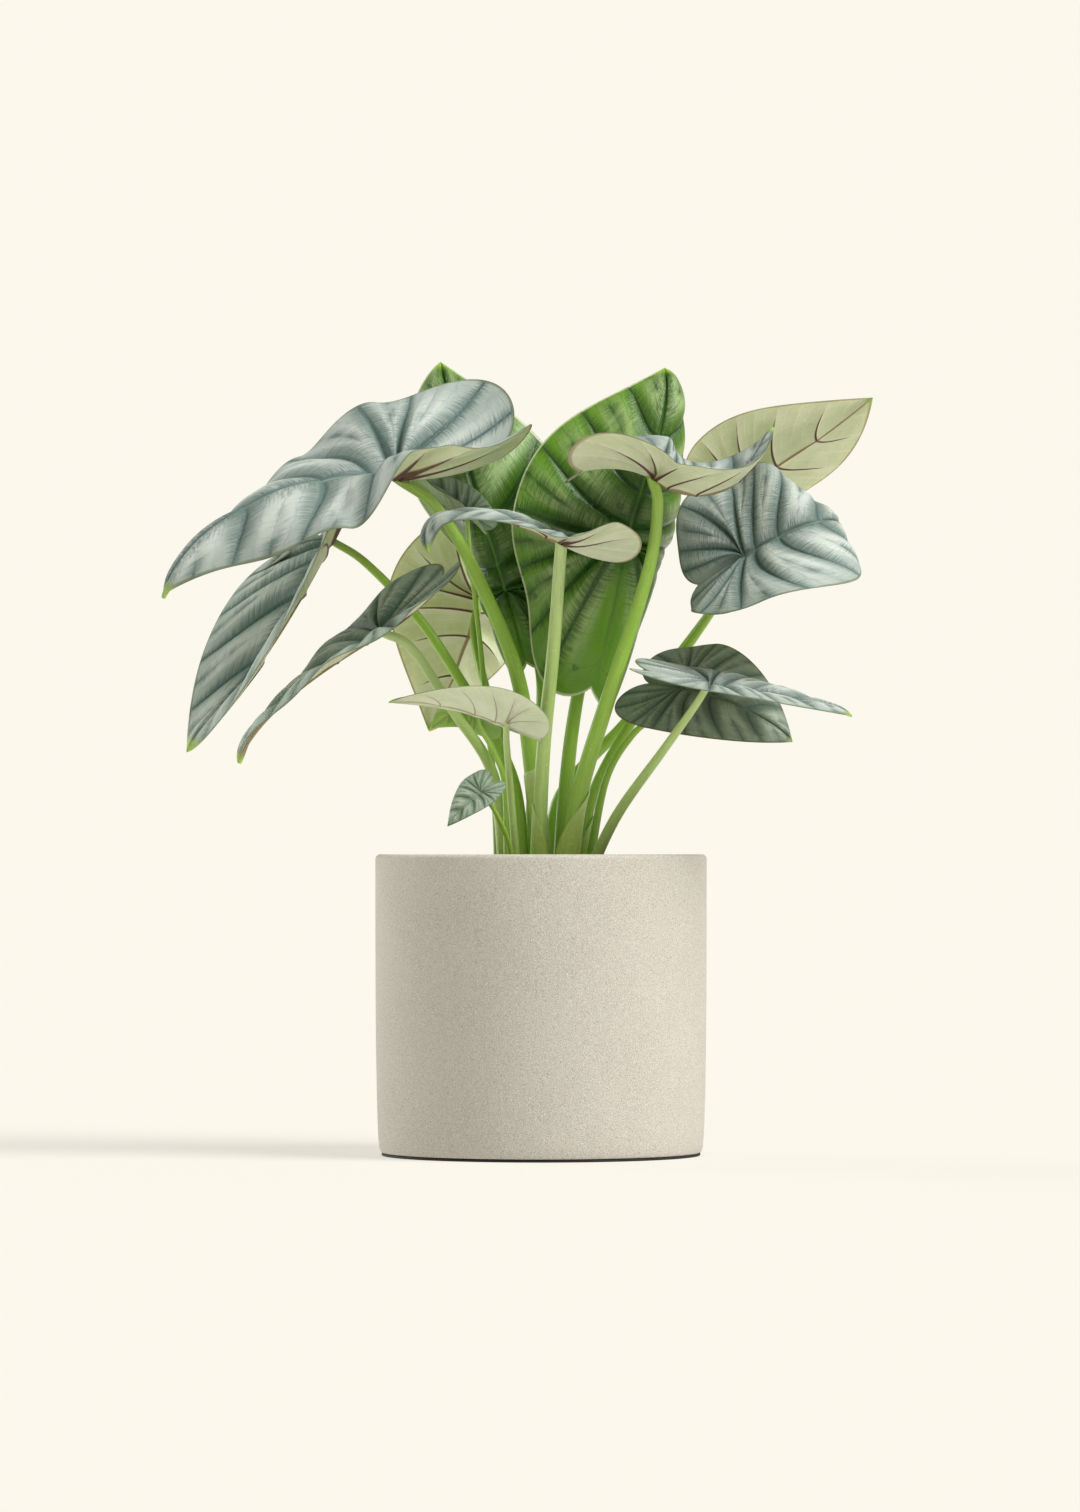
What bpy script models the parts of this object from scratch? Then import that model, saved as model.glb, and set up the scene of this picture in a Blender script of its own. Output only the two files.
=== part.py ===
"""A silver dragon alocasia in a round stoneware pot, 166 mm across and about 400 mm tall.

Frame: metres, +Z up, the origin on the floor under the middle of the pot, the plant's front towards -Y.
Sizes below are in millimetres and turned into metres where a mesh is made.
"""

from math import cos, pi, radians, sin, tau

import bmesh
import bpy
import numpy as np
from mathutils import Vector, noise

MM = 0.001

# Pot, base pad and soil
POT_RADIUS = 82.8
FOOT_RADIUS = 80.2
POT_HEIGHT = 150.2
POT_WALL = 6.0
POT_FLOOR = 9.0
RIM_ROUND = 2.4
FOOT_EDGE = 0.8
INNER_CORNER = 8.0
SIDE_BEND = ((0.3, 30.0), (0.62, 8.0))  # (share of the taper taken up, height) on the way down to the foot
PAD_RADIUS = 79.6
PAD_THICKNESS = 1.2
SEAT_GAP = 0.3
SOIL_LEVEL = 137.0
SOIL_MOUND = 3.0
SOIL_RINGS = 6
SOIL_SIDES = 32
CLOD_SIZES = (14.0, 6.0)
CLOD_HEIGHT = 0.9
HOLE_DEPTH = 12.0
HOLE_CLEARANCE = 0.4
POT_SIDES = 48

# Blade: how its flat outline and its veins are laid out, in shares of its length from the stalk to the tip.
# Bearings round the stalk are in degrees from the midrib.
BLADE_THICKNESS = 0.8
BLADE_ROWS = 14
BLADE_COLUMNS = 5
SIDE_VEINS = 7
REAR_VEINS = 2  # side veins that start at the stalk itself and run into the back lobes
HALF_WIDTH = 0.44
LOBE = 0.12
LOBE_BEARING = 150
LOBE_SPREAD = 28
NOTCH = 0.15
NOTCH_SPREAD = 10
TIP_ANGLE = 26
BEARING_POWER = 1.35  # side veins stand closer round the tip
FOOT_POWER = 1.9  # their feet stand closer near the stalk
SWEEP_POWER = 1.25  # they curve forwards on the way to the margin
QUILT = 0.012
QUILT_SHARPNESS = 0.8
QUILT_FILL = 0.7
WAVE_TURNS = 0.5
WAVE_SHIFT = 0.37
CREASE = 0.03
FOLD_STEPS = 16
FOLD_TURNING = (-0.3, 0.15)
REAR = 1.0
HEEL = 0.5

# Stalk
HOLE_CLEAR_HEIGHT = 2.0
NECK = 2.0  # how far under the blade the last bend is, in radii of the stalk's top
STALK_SPAN_POINTS = 2


def clear_scene():
    for obj in list(bpy.data.objects):
        bpy.data.objects.remove(obj, do_unlink=True)


def new_collection(name):
    collection = bpy.data.collections.new(name)
    bpy.context.scene.collection.children.link(collection)
    return collection


def material(name, colour, roughness):
    made = bpy.data.materials.new(name)
    made.use_nodes = True
    shader = made.node_tree.nodes["Principled BSDF"]
    shader.inputs["Base Color"].default_value = (*colour, 1.0)
    shader.inputs["Roughness"].default_value = roughness
    shader.inputs["Metallic"].default_value = 0.0
    return made


def add_object(name, data, finish, collection):
    obj = bpy.data.objects.new(name, data)
    obj.data.materials.append(finish)
    collection.objects.link(obj)
    return obj


def turned(name, profile, sides, finish, collection):
    """A closed body turned round the Z axis from (radius, height) points that start and end on the axis."""
    mesh = bpy.data.meshes.new(name)
    points = [(r * MM, 0.0, z * MM) for r, z in profile]
    mesh.from_pydata(points, [(i, i + 1) for i in range(len(points) - 1)], [])
    obj = add_object(name, mesh, finish, collection)
    screw = obj.modifiers.new("Turn", "SCREW")
    screw.steps = sides
    screw.render_steps = sides
    screw.use_merge_vertices = True
    screw.merge_threshold = 0.00001
    screw.use_smooth_shade = True
    return obj


def pot_profile():
    """From the middle of the inner floor, up the inside, over the rounded rim and down to under the foot."""
    inside = POT_RADIUS - POT_WALL
    bottom = PAD_THICKNESS + SEAT_GAP
    quarter = [i * pi / 6 for i in range(4)]
    rim_in = [
        (inside + RIM_ROUND * (1 - cos(a)), POT_HEIGHT - RIM_ROUND * (1 - sin(a)))
        for a in quarter
    ]
    rim_out = [
        (POT_RADIUS - RIM_ROUND * (1 - sin(a)), POT_HEIGHT - RIM_ROUND * (1 - cos(a)))
        for a in quarter
    ]
    taper = POT_RADIUS - FOOT_RADIUS
    side = [(POT_RADIUS - share * taper, height) for share, height in SIDE_BEND]
    foot = [(FOOT_RADIUS, bottom + FOOT_EDGE), (FOOT_RADIUS - FOOT_EDGE, bottom), (0.0, bottom)]
    return corner(inside, POT_FLOOR) + rim_in + rim_out + side + foot


def corner(radius, floor):
    """From the axis along the floor and round the corner up to the wall inside the pot."""
    bevel = 0.28 * INNER_CORNER
    return [
        (0.0, floor),
        (radius - INNER_CORNER, floor),
        (radius - bevel, floor + bevel),
        (radius, floor + INNER_CORNER),
    ]


# How each leaf stands. Points are (x, y, z) in millimetres. The midrib leaves the stalk's top towards
# `bow`, passes by `dip` and ends at `tip`. `face` is the way the upper side looks at the stalk and
# `tip_face` at the tip. `left` and `right` say how far each half folds up, in degrees, at the back
# lobes, just past the stalk and at the tip; `left_turning` and `right_turning` say where along the
# midrib the first two are reached. Behind the stalk the blade rises by `back` degrees, or bends down
# its middle line to the point `heel`, where it faces `heel_face`. `size` is the blade's length.
LEAVES = {
    "upper_left": dict(
        stalk=(-71, -18, 337), bow=(-116, -38, 340), dip=(-166, -55, 322), tip=(-186, -60, 276),
        face=(0, -0.5, 0.86), tip_face=(-0.3, -0.5, 0.6),
        left=(43, -4, -50), right=(22, -16, -95), left_turning=(0.08, 0.32), right_turning=(0, 0.22),
        back=38, size=122, lobe=0.28, wave=0.02,
    ),
    "hanging_left": dict(
        stalk=(-106, 38, 309), bow=(-117, 14, 285), dip=(-138, -12, 240), tip=(-176, -22, 201),
        face=(-0.65, -0.6, 0.46), tip_face=(-0.6, -0.65, 0.4),
        heel=(-118, 78, 306), heel_face=(-0.3, -0.1, 1),
        left=(26, 40, 38), right=(0, 0, 0), size=108, lobe=-0.22, notch=0, point=62, side=0.36,
    ),
    "slanting_left": dict(
        stalk=(-78, -30, 260), bow=(-98, -36, 248), dip=(-140, -44, 222), tip=(-149, -48, 195),
        face=(-0.6, -0.24, 0.77), tip_face=(-0.8, -0.03, 0.55),
        left=(14, 8, 0), right=(14, 6, 0), back=22, size=100, wave=0.015,
    ),
    "middle": dict(
        stalk=(10, -45, 303), bow=(-25, -52, 322), dip=(-62, -58, 325), tip=(-55, -62, 298),
        face=(0, -0.15, 0.98), tip_face=(-0.4, -0.2, 0.8),
        left=(45, 5, -10), right=(14, 5, -10), back=28, size=80,
    ),
    "upper_right": dict(
        stalk=(55, -46, 335), bow=(76, -42, 322), dip=(102, -30, 325), tip=(116, -14, 363),
        face=(-0.1, -0.05, 0.98), tip_face=(-0.6, -0.1, 0.7),
        left=(35, 46, 40), right=(6, 15, 14), size=88, lobe=0.0, notch=0.08,
        heel=(1, -60, 333), heel_face=(0.3, 0.72, 0.52),
    ),
    "far_right": dict(
        stalk=(101, 42, 334), bow=(118, 35, 347), dip=(140, 25, 357), tip=(167, 18, 380),
        face=(-0.35, 0.75, 0.55), tip_face=(-0.3, 0.75, 0.6),
        left=(15, 20, 5), right=(15, 20, 5), back=0, size=80, lobe=-0.12, notch=0.08, point=38, side=0.39,
    ),
    "broad_right": dict(
        stalk=(101, -12, 298), bow=(124, -27, 312), dip=(148, -23, 322), tip=(148, 14, 313),
        face=(0.08, -0.76, 0.62), tip_face=(0.6, -0.58, 0.54),
        left=(45, 2, -10), right=(26, 20, -14),
        back=0, size=91, point=48, side=0.44, lobe=-0.06, notch=0.12, wave=0.015,
    ),
    "low_right": dict(
        stalk=(82, -50, 233), bow=(106, -52, 229), dip=(132, -52, 226), tip=(153, -52, 218),
        face=(0.1, -0.17, 0.98), tip_face=(0.3, -0.2, 0.93),
        left=(5, 5, 0), right=(5, 5, 0), back=10, size=78,
    ),
    "shaded_right": dict(
        stalk=(70, -4, 233), bow=(86, -18, 230), dip=(108, -24, 222), tip=(125, -16, 206),
        face=(0.1, -0.85, 0.5), tip_face=(0.2, -0.8, 0.5),
        left=(0, 5, 0), right=(0, 5, 0), back=0, size=64, point=34,
    ),
    "back_left": dict(
        stalk=(-31, 70, 281), bow=(-37, 76, 262), dip=(-45, 85, 236), tip=(-58, 93, 214),
        face=(-0.45, 0.8, 0.35), tip_face=(-0.45, 0.8, 0.35),
        left=(30, 30, 10), right=(35, 25, 15), back=10, size=102, lobe=0.02, notch=0.08, wave=0.015,
    ),
    "low_left": dict(
        stalk=(-17, -42, 214), bow=(-37, -45, 222), dip=(-55, -48, 227), tip=(-75, -50, 225),
        face=(0, 0.45, 0.9), tip_face=(0, 0.4, 0.9),
        left=(20, 22, 5), right=(28, 28, 15), back=0, size=46, lobe=0.04, notch=0.05,
    ),
    "low_green": dict(
        stalk=(-32, -4, 221), bow=(-38, -2, 224), dip=(-47, -1, 222), tip=(-55, -3, 213),
        face=(0, 0.75, 0.6), tip_face=(0, 0.75, 0.6),
        left=(5, 5, 0), right=(5, 5, 0), back=0, size=30,
    ),
    "baby": dict(
        stalk=(-29.5, -41, 181), bow=(-34, -44, 177), dip=(-41, -46, 171), tip=(-46, -44, 164),
        face=(-0.35, -0.9, 0.2), tip_face=(-0.5, -0.75, 0.3),
        left=(15, 15, 10), right=(15, 15, 10), back=0, size=25, side=0.4,
    ),
    "green_left": dict(
        stalk=(-18, 10, 282), bow=(-34, 10, 335), dip=(-49, 28, 380), tip=(-51, 46, 400),
        face=(0.2, -0.95, 0.1), tip_face=(0.1, -0.6, 0.7),
        left=(-108, -100, -40), right=(0, 0, 0), crease=0.06, back=0, size=106, point=45, side=0.42,
        lobe=0.02, notch=0.08,
    ),
    "green_right": dict(
        stalk=(42.5, -9, 304), bow=(48, -11, 333), dip=(68, 1, 370), tip=(62, 20, 395),
        face=(-0.1, -0.97, 0.1), tip_face=(0, -0.6, 0.7), heel=(32, -6, 258), heel_face=(-0.1, -0.97, 0.05),
        left=(0, 0, 0), right=(-100, -92, -130), crease=0.12, size=94, point=65, side=0.5,
        lobe=0.37, lobe_at=172, notch=0.1,
    ),
    "folded_young": dict(
        stalk=(-37, -2, 320), bow=(-45, -1, 328), dip=(-54, 1, 336), tip=(-60, 2, 342),
        face=(-0.4, -0.35, 0.8), tip_face=(-0.4, -0.35, 0.8),
        left=(65, 65, 40), right=(65, 65, 40), back=0, size=30,
    ),
}

# Each stalk: where it leaves the soil (x, y), its radius there and under the blade, and the points that
# it passes on the way up. `seat` is where its top stands on a blade whose own stalk point is folded
# away: the side vein, the share of the way to the margin, and the half (1 left, -1 right).
STALKS = {
    "upper_left": dict(
        base=(1, 0),
        radii=(4.8, 2.6),
        through=((-4, -2, 190), (-12, -4, 240), (-30, -8, 285), (-51, -12, 322)),
    ),
    "hanging_left": dict(
        base=(-9.5, -5),
        radii=(3.6, 1.9),
        through=((-12, 2, 178), (-20, 9, 202), (-36, 14, 230), (-60, 24, 267), (-88, 36, 297)),
    ),
    "slanting_left": dict(
        base=(-18, 3), radii=(3.2, 2.2), through=((-24, 0, 190), (-44, -14, 222), (-64, -27, 252))
    ),
    "middle": dict(base=(-1.5, -12), radii=(3.9, 3.0), through=((1, -16, 200), (6, -28, 250), (9, -40, 290))),
    "upper_right": dict(
        base=(13.5, -14),
        radii=(4.8, 2.7),
        through=((19, -16, 180), (34, -24, 230), (53, -38, 290), (57.5, -46, 322)),
    ),
    "far_right": dict(
        base=(4, 20),
        radii=(3.4, 2.0),
        through=((10, 28, 180), (43, 44, 217), (69, 50, 250), (94, 46, 286), (103, 38, 318)),
    ),
    "broad_right": dict(
        base=(20, 9), radii=(3.2, 1.8), through=((26, 14, 180), (49, 26, 222), (76, 30, 258), (96, 8, 288))
    ),
    "low_right": dict(
        base=(25, -10), radii=(3.1, 1.7), through=((38, -20, 170), (60, -38, 201), (75, -46, 222))
    ),
    "shaded_right": dict(
        base=(24, 1), radii=(2.4, 1.3), through=((32, 2, 186), (45, 3, 209), (60, 5, 222))
    ),
    "back_left": dict(
        base=(-15, 18), radii=(3.0, 2.0), through=((-17, 24, 195), (-27, 36, 230), (-34, 54, 262))
    ),
    "low_left": dict(base=(-12, -16), radii=(2.2, 1.5), through=((-15, -24, 180), (-17, -36, 205))),
    "low_green": dict(
        base=(-17, -8), radii=(1.8, 1.2), through=((-18, -9, 184), (-24, -8, 202), (-30, -7, 213))
    ),
    "baby": dict(base=(-14, -25), radii=(1.6, 0.9), through=((-16, -28, 156), (-22, -34, 170))),
    "green_left": dict(
        base=(-6, 12),
        seat=(2, 0.07, -1),
        radii=(3.6, 2.2),
        through=((-4, 15, 178), (-1, 19, 205), (0, 23, 240), (-8, 21, 267)),
    ),
    "green_right": dict(
        base=(10, 8),
        seat=(2, 0.05, 1),
        radii=(4.2, 2.4),
        through=((12, 9, 178), (16, 11, 215), (22, 12, 245), (34, 9, 282)),
    ),
    "folded_young": dict(
        base=(-22, 12),
        radii=(1.6, 1.1),
        through=((-24, 18, 190), (-27, 21, 215), (-30, 18, 250), (-36, 6, 304)),
    ),
}


def margin_radius(bearing, shape):
    """How far the margin lies from the stalk at this bearing from the midrib, in shares of the size."""
    point = (1 - shape["side"]) * np.exp(-bearing / radians(shape["point"]))
    lobe = shape["lobe"] * np.exp(-(((bearing - radians(shape["lobe_at"])) / radians(LOBE_SPREAD)) ** 2))
    notch = shape["notch"] * np.exp(-(pi - bearing) / radians(NOTCH_SPREAD))
    return shape["side"] + point + lobe - notch


def flat_point(vein, reach, shape):
    """A point of the flat blade, `vein` side veins on from the notch, `reach` of the way to the margin."""
    bearing = pi * (1 - vein / SIDE_VEINS) ** BEARING_POWER
    radius = margin_radius(bearing, shape)
    foot = np.clip((vein - REAR_VEINS) / (SIDE_VEINS - REAR_VEINS), 0, 1) ** FOOT_POWER
    u = foot + (radius * np.cos(bearing) - foot) * reach**SWEEP_POWER
    return u, radius * np.sin(bearing) * reach


def eased(along, values, turning):
    """values at the back lobes, just past the stalk and at the tip, joined smoothly."""
    back, middle, tip = values
    start, end = turning
    first = np.clip((along - start) / (end - start), 0, 1)
    second = np.clip((along - end) / (1 - end), 0, 1)
    first = first**2 * (3 - 2 * first)
    second = second**2 * (3 - 2 * second)
    return back + (middle - back) * first + (tip - middle) * second


def midrib(leaf, steps=60):
    """Positions along the midrib and behind it, with the points and the frames (along, left, up) there."""
    p0, p1, p2, p3 = (np.array(leaf[k], float) for k in ("stalk", "bow", "dip", "tip"))
    t = np.linspace(0, 1, steps)[:, None]
    ahead = (1 - t) ** 3 * p0 + 3 * (1 - t) ** 2 * t * p1 + 3 * (1 - t) * t**2 * p2 + t**3 * p3
    heading = 3 * ((1 - t) ** 2 * (p1 - p0) + 2 * (1 - t) * t * (p2 - p1) + t**2 * (p3 - p2))
    heading /= np.linalg.norm(heading, axis=1)[:, None]
    run = np.concatenate([[0], np.cumsum(np.linalg.norm(np.diff(ahead, axis=0), axis=1))])
    run /= run[-1]
    face = (1 - t) * np.array(leaf["face"], float) + t * np.array(leaf["tip_face"], float)
    up = face - (face * heading).sum(1)[:, None] * heading
    up /= np.linalg.norm(up, axis=1)[:, None]
    behind_run = np.linspace(REAR, REAR / steps, steps)
    share = behind_run[:, None] / HEEL
    if "heel" in leaf:
        handle = p0 - HEEL / 2 * leaf["size"] * heading[0]
        heel = np.array(leaf["heel"], float)
        behind = (1 - share) ** 2 * p0 + 2 * (1 - share) * share * handle + share**2 * heel
        behind_heading = (1 - share) * (p0 - handle) + share * (handle - heel)
        behind_heading /= np.linalg.norm(behind_heading, axis=1)[:, None]
        mixed = np.clip(share, 0, 1)
        behind_face = (1 - mixed) * up[0] + mixed * np.array(leaf["heel_face"], float)
        behind_up = behind_face - (behind_face * behind_heading).sum(1)[:, None] * behind_heading
        behind_up /= np.linalg.norm(behind_up, axis=1)[:, None]
    else:
        turn = -radians(leaf["back"]) * share
        behind_heading = np.cos(turn) * heading[0] + np.sin(turn) * up[0]
        behind_up = -np.sin(turn) * heading[0] + np.cos(turn) * up[0]
        behind = p0 - leaf["size"] * REAR / steps * np.cumsum(behind_heading[::-1], axis=0)[::-1]
    along = np.concatenate([-behind_run, run])
    points = np.vstack([behind, ahead])
    headings = np.vstack([behind_heading, heading])
    ups = np.vstack([behind_up, up])
    return along, points, headings, np.cross(ups, headings), ups


def outline_shape(leaf):
    usual = dict(side=HALF_WIDTH, lobe=LOBE, lobe_at=LOBE_BEARING, notch=NOTCH, point=TIP_ANGLE)
    return {part: leaf.get(part, share) for part, share in usual.items()}


def blade_surface(leaf, vein, reach, side):
    """Points and upward normals of the blade's middle surface; side is 1 on the left and -1 on the right."""
    u, v = flat_point(vein, reach, outline_shape(leaf))
    along, points, _, lefts, ups = midrib(leaf)
    centre, left, up = (
        np.stack([np.interp(u, along, grid[:, k]) for k in range(3)], -1) for grid in (points, lefts, ups)
    )
    half = "left" if side > 0 else "right"
    fold = np.radians(eased(u, leaf[half], leaf.get(half + "_turning", FOLD_TURNING)))
    across = np.zeros_like(v)
    raised = np.zeros_like(v)
    crease = leaf.get("crease", CREASE)
    for i in range(FOLD_STEPS):
        angle = fold * (1 - np.exp(-v * (i + 0.5) / FOLD_STEPS / crease))
        across += np.cos(angle) * v / FOLD_STEPS
        raised += np.sin(angle) * v / FOLD_STEPS
    angle = fold * (1 - np.exp(-v / crease))
    normal = -side * np.sin(angle)[..., None] * left + np.cos(angle)[..., None] * up
    size = leaf["size"]
    surface = centre + size * (side * across[..., None] * left + raised[..., None] * up)
    between_veins = np.abs(np.sin(pi * vein)) ** QUILT_SHARPNESS
    quilt = QUILT * between_veins * np.sin(pi * reach**QUILT_FILL) ** QUILT_FILL
    turn = tau * (vein * WAVE_TURNS + (0.0 if side > 0 else WAVE_SHIFT))
    wave = leaf.get("wave", 0.0) * np.sin(turn) * reach**2
    return surface + size * (quilt + wave)[..., None] * normal, normal


def blade_mesh(name, leaf):
    """Upper and lower faces split alike, joined round the margin."""
    rows, columns = BLADE_ROWS, BLADE_COLUMNS
    vein, reach = np.meshgrid(
        np.linspace(0, SIDE_VEINS, rows + 1), np.linspace(0, 1, columns + 1), indexing="ij"
    )
    u, v = flat_point(vein, reach, outline_shape(leaf))
    places = {}
    halves = []
    for side in (1, -1):
        keys = np.dstack([u, side * v]).round(5) + 0.0
        keys = [[tuple(key) for key in row] for row in keys]
        halves.append((side, keys))
        middle, normal = blade_surface(leaf, vein, reach, side)
        for i in range(rows + 1):
            for j in range(columns + 1):
                places.setdefault(keys[i][j], (middle[i, j], normal[i, j] * BLADE_THICKNESS / 2))
    bm = bmesh.new()
    top = {key: bm.verts.new((at + offset) * MM) for key, (at, offset) in places.items()}
    under = {key: bm.verts.new((at - offset) * MM) for key, (at, offset) in places.items()}
    for side, keys in halves:
        for i in range(rows):
            for j in range(columns):
                a, b, c, d = keys[i][j], keys[i + 1][j], keys[i + 1][j + 1], keys[i][j + 1]
                for corners in ((a, b, c), (a, c, d)):
                    if len(set(corners)) == 3:
                        upward = corners if side < 0 else corners[::-1]
                        bm.faces.new([top[key] for key in upward])
                        bm.faces.new([under[key] for key in upward[::-1]])
            low, high = keys[i][columns], keys[i + 1][columns]
            if side > 0:
                low, high = high, low
            bm.faces.new((top[low], under[low], under[high]))
            bm.faces.new((top[low], under[high], top[high]))
    bmesh.ops.recalc_face_normals(bm, faces=bm.faces)
    mesh = bpy.data.meshes.new(name)
    bm.to_mesh(mesh)
    bm.free()
    return mesh


def smooth_path(points, per_span):
    """Points on a smooth curve through the given ones."""
    ends = [2 * points[0] - points[1]] + list(points) + [2 * points[-1] - points[-2]]
    path = []
    for a, b, c, d in zip(ends, ends[1:], ends[2:], ends[3:]):
        for k in range(per_span):
            t = k / per_span
            bend = (2 * a - 5 * b + 4 * c - d) * t**2 + (3 * b - a - 3 * c + d) * t**3
            path.append(0.5 * (2 * b + (c - a) * t + bend))
    return path + [points[-1]]


def stalk_route(name):
    """The stalk's middle line, from the bottom of its hole to just under the blade."""
    leaf, stalk = LEAVES[name], STALKS[name]
    vein, reach, side = stalk.get("seat", (0, 0, 1))
    under, normal = blade_surface(leaf, np.array([vein]), np.array([reach]), side)
    top = under[0] - (BLADE_THICKNESS / 2 + SEAT_GAP) * normal[0]
    x, y = stalk["base"]
    low = np.array((x, y, SOIL_LEVEL - HOLE_DEPTH + SEAT_GAP))
    out = np.array((x, y, SOIL_LEVEL + SOIL_MOUND + HOLE_CLEAR_HEIGHT))
    neck = top - NECK * stalk["radii"][1] * normal[0]
    way = [np.array(p, float) for p in stalk["through"]]
    return [low] + smooth_path([out] + way + [neck], STALK_SPAN_POINTS) + [top]


def make_stalk(name, finish, collection):
    route = stalk_route(name)
    base_radius, top_radius = STALKS[name]["radii"]
    lengths = np.cumsum([0.0] + [float(np.linalg.norm(b - a)) for a, b in zip(route, route[1:])])
    curve = bpy.data.curves.new("stalk_" + name, "CURVE")
    curve.dimensions = "3D"
    curve.bevel_depth = base_radius * MM
    curve.bevel_resolution = 2
    curve.use_fill_caps = True
    spline = curve.splines.new("POLY")
    spline.points.add(len(route) - 1)
    for point, at, gone in zip(spline.points, route, lengths / lengths[-1]):
        point.co = (*(at * MM), 1.0)
        point.radius = 1 + (top_radius / base_radius - 1) * gone
    return add_object("stalk_" + name, curve, finish, collection)


def soil_surface(x, y):
    """Height of the soil over its level, a low mound with small clods."""
    share = (x * x + y * y) ** 0.5 / (POT_RADIUS - POT_WALL)
    coarse, fine = (noise.noise(Vector((x / size, y / size, size))) for size in CLOD_SIZES)
    return SOIL_MOUND * (1 - share**2) + CLOD_HEIGHT * (coarse + 0.5 * fine)


def make_soil(finish, collection, cutters):
    inside = POT_RADIUS - POT_WALL - SEAT_GAP
    top = [(inside * i / SOIL_RINGS, SOIL_LEVEL) for i in range(SOIL_RINGS + 1)]
    side = corner(inside, POT_FLOOR + SEAT_GAP)[::-1]
    soil = turned("soil", top + side, SOIL_SIDES, finish, collection)
    graph = bpy.context.evaluated_depsgraph_get()
    mesh = bpy.data.meshes.new_from_object(soil.evaluated_get(graph))
    soil.modifiers.clear()
    soil.data = mesh
    for vertex in mesh.vertices:
        if vertex.co.z > (SOIL_LEVEL - 1) * MM:
            vertex.co.z += soil_surface(vertex.co.x / MM, vertex.co.y / MM) * MM
    for name, stalk in STALKS.items():
        x, y = stalk["base"]
        bpy.ops.mesh.primitive_cylinder_add(
            vertices=8,
            radius=(stalk["radii"][0] + HOLE_CLEARANCE) / cos(pi / 8) * MM,
            depth=2 * HOLE_DEPTH * MM,
            location=(x * MM, y * MM, SOIL_LEVEL * MM),
        )
        cutter = bpy.context.object
        cutter.name = "hole_" + name
        cutter.hide_render = True
        cutter.display_type = "WIRE"
        for owner in list(cutter.users_collection):
            owner.objects.unlink(cutter)
        cutters.objects.link(cutter)
    holes = soil.modifiers.new("Holes", "BOOLEAN")
    holes.operation = "DIFFERENCE"
    holes.operand_type = "COLLECTION"
    holes.collection = cutters
    holes.solver = "EXACT"
    return soil


def build():
    clear_scene()
    plant = new_collection("potted_silver_dragon_alocasia")
    cutters = new_collection("cutters")
    stoneware = material("stoneware", (0.56, 0.52, 0.45), 0.85)
    rubber = material("base_rubber", (0.02, 0.02, 0.018), 0.8)
    earth = material("potting_soil", (0.05, 0.032, 0.02), 0.95)
    silver = material("silver_leaf", (0.42, 0.5, 0.45), 0.45)
    green = material("green_leaf", (0.1, 0.28, 0.03), 0.35)
    stem = material("leaf_stalk", (0.3, 0.45, 0.1), 0.45)

    turned("pot", pot_profile(), POT_SIDES, stoneware, plant)
    pad = [(0.0, PAD_THICKNESS), (PAD_RADIUS, PAD_THICKNESS), (PAD_RADIUS, 0.0), (0.0, 0.0)]
    turned("base_pad", pad, POT_SIDES, rubber, plant)
    make_soil(earth, plant, cutters)
    for name, leaf in LEAVES.items():
        finish = green if name in ("green_left", "green_right", "low_green") else silver
        add_object("blade_" + name, blade_mesh("blade_" + name, leaf), finish, plant)
        make_stalk(name, stem, plant)


build()
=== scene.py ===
"""A potted silver dragon alocasia: silvery quilted leaves on green stalks in a round stoneware pot.

Row frame: metres, +Z up, the origin on the floor under the middle of the pot, the front towards -Y.
Sizes below are in millimetres and become metres where a mesh is made.
"""

from math import cos, pi, radians, sin, tau

import bpy
import numpy as np
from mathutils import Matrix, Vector, noise


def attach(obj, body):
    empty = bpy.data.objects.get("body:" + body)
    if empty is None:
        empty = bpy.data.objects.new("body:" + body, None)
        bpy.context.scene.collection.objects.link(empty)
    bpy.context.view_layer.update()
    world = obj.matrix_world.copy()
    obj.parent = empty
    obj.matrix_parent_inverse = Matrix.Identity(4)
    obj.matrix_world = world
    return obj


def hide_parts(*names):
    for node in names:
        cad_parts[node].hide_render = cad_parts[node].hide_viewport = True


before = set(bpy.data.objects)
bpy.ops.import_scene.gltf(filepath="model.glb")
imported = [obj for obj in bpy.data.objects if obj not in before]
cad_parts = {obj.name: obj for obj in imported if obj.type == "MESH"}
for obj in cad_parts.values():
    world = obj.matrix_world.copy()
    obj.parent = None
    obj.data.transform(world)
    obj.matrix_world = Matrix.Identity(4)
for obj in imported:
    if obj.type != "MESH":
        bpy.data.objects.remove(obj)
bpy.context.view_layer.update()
MM = 0.001


# The studio. The plant stands on a wide cream floor that runs on into a cream backdrop. Soft light comes
# from the right and above, with a weaker light from behind on the left. The camera stands level with the
# pot's rim, well back, and looks slightly up.
BACKDROP = (0.972, 0.937, 0.842)
FLOOR_HALF_WIDTH = 60.0
FILL_STRENGTH = 0.52
CAMERA_PLACE = (-0.0005, -3.2, 0.1502)
CAMERA_TILT = 90.88
CAMERA_LENS = 152.4
CAMERA_REACH = 200.0
FLOOR_GLOW = 0.6  # the share of the floor's brightness that no shadow takes away, as on a light table
KEY_LIGHT = dict(azimuth=62, height=48, strength=3.2, softness=32, colour=(1.0, 0.99, 0.975))
REAR_LIGHT = dict(azimuth=-125, height=9, strength=1.8, softness=30, colour=(0.98, 0.985, 1.0))


def floor_colour():
    """The paper that looks just like the backdrop once the lights fall on it."""
    colour = []
    for channel, shown in enumerate(BACKDROP):
        lit = FILL_STRENGTH * shown
        for light in (KEY_LIGHT, REAR_LIGHT):
            lit += light["strength"] * light["colour"][channel] * sin(radians(light["height"])) / pi
        colour.append((1 - FLOOR_GLOW) * shown / lit)
    return colour


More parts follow.
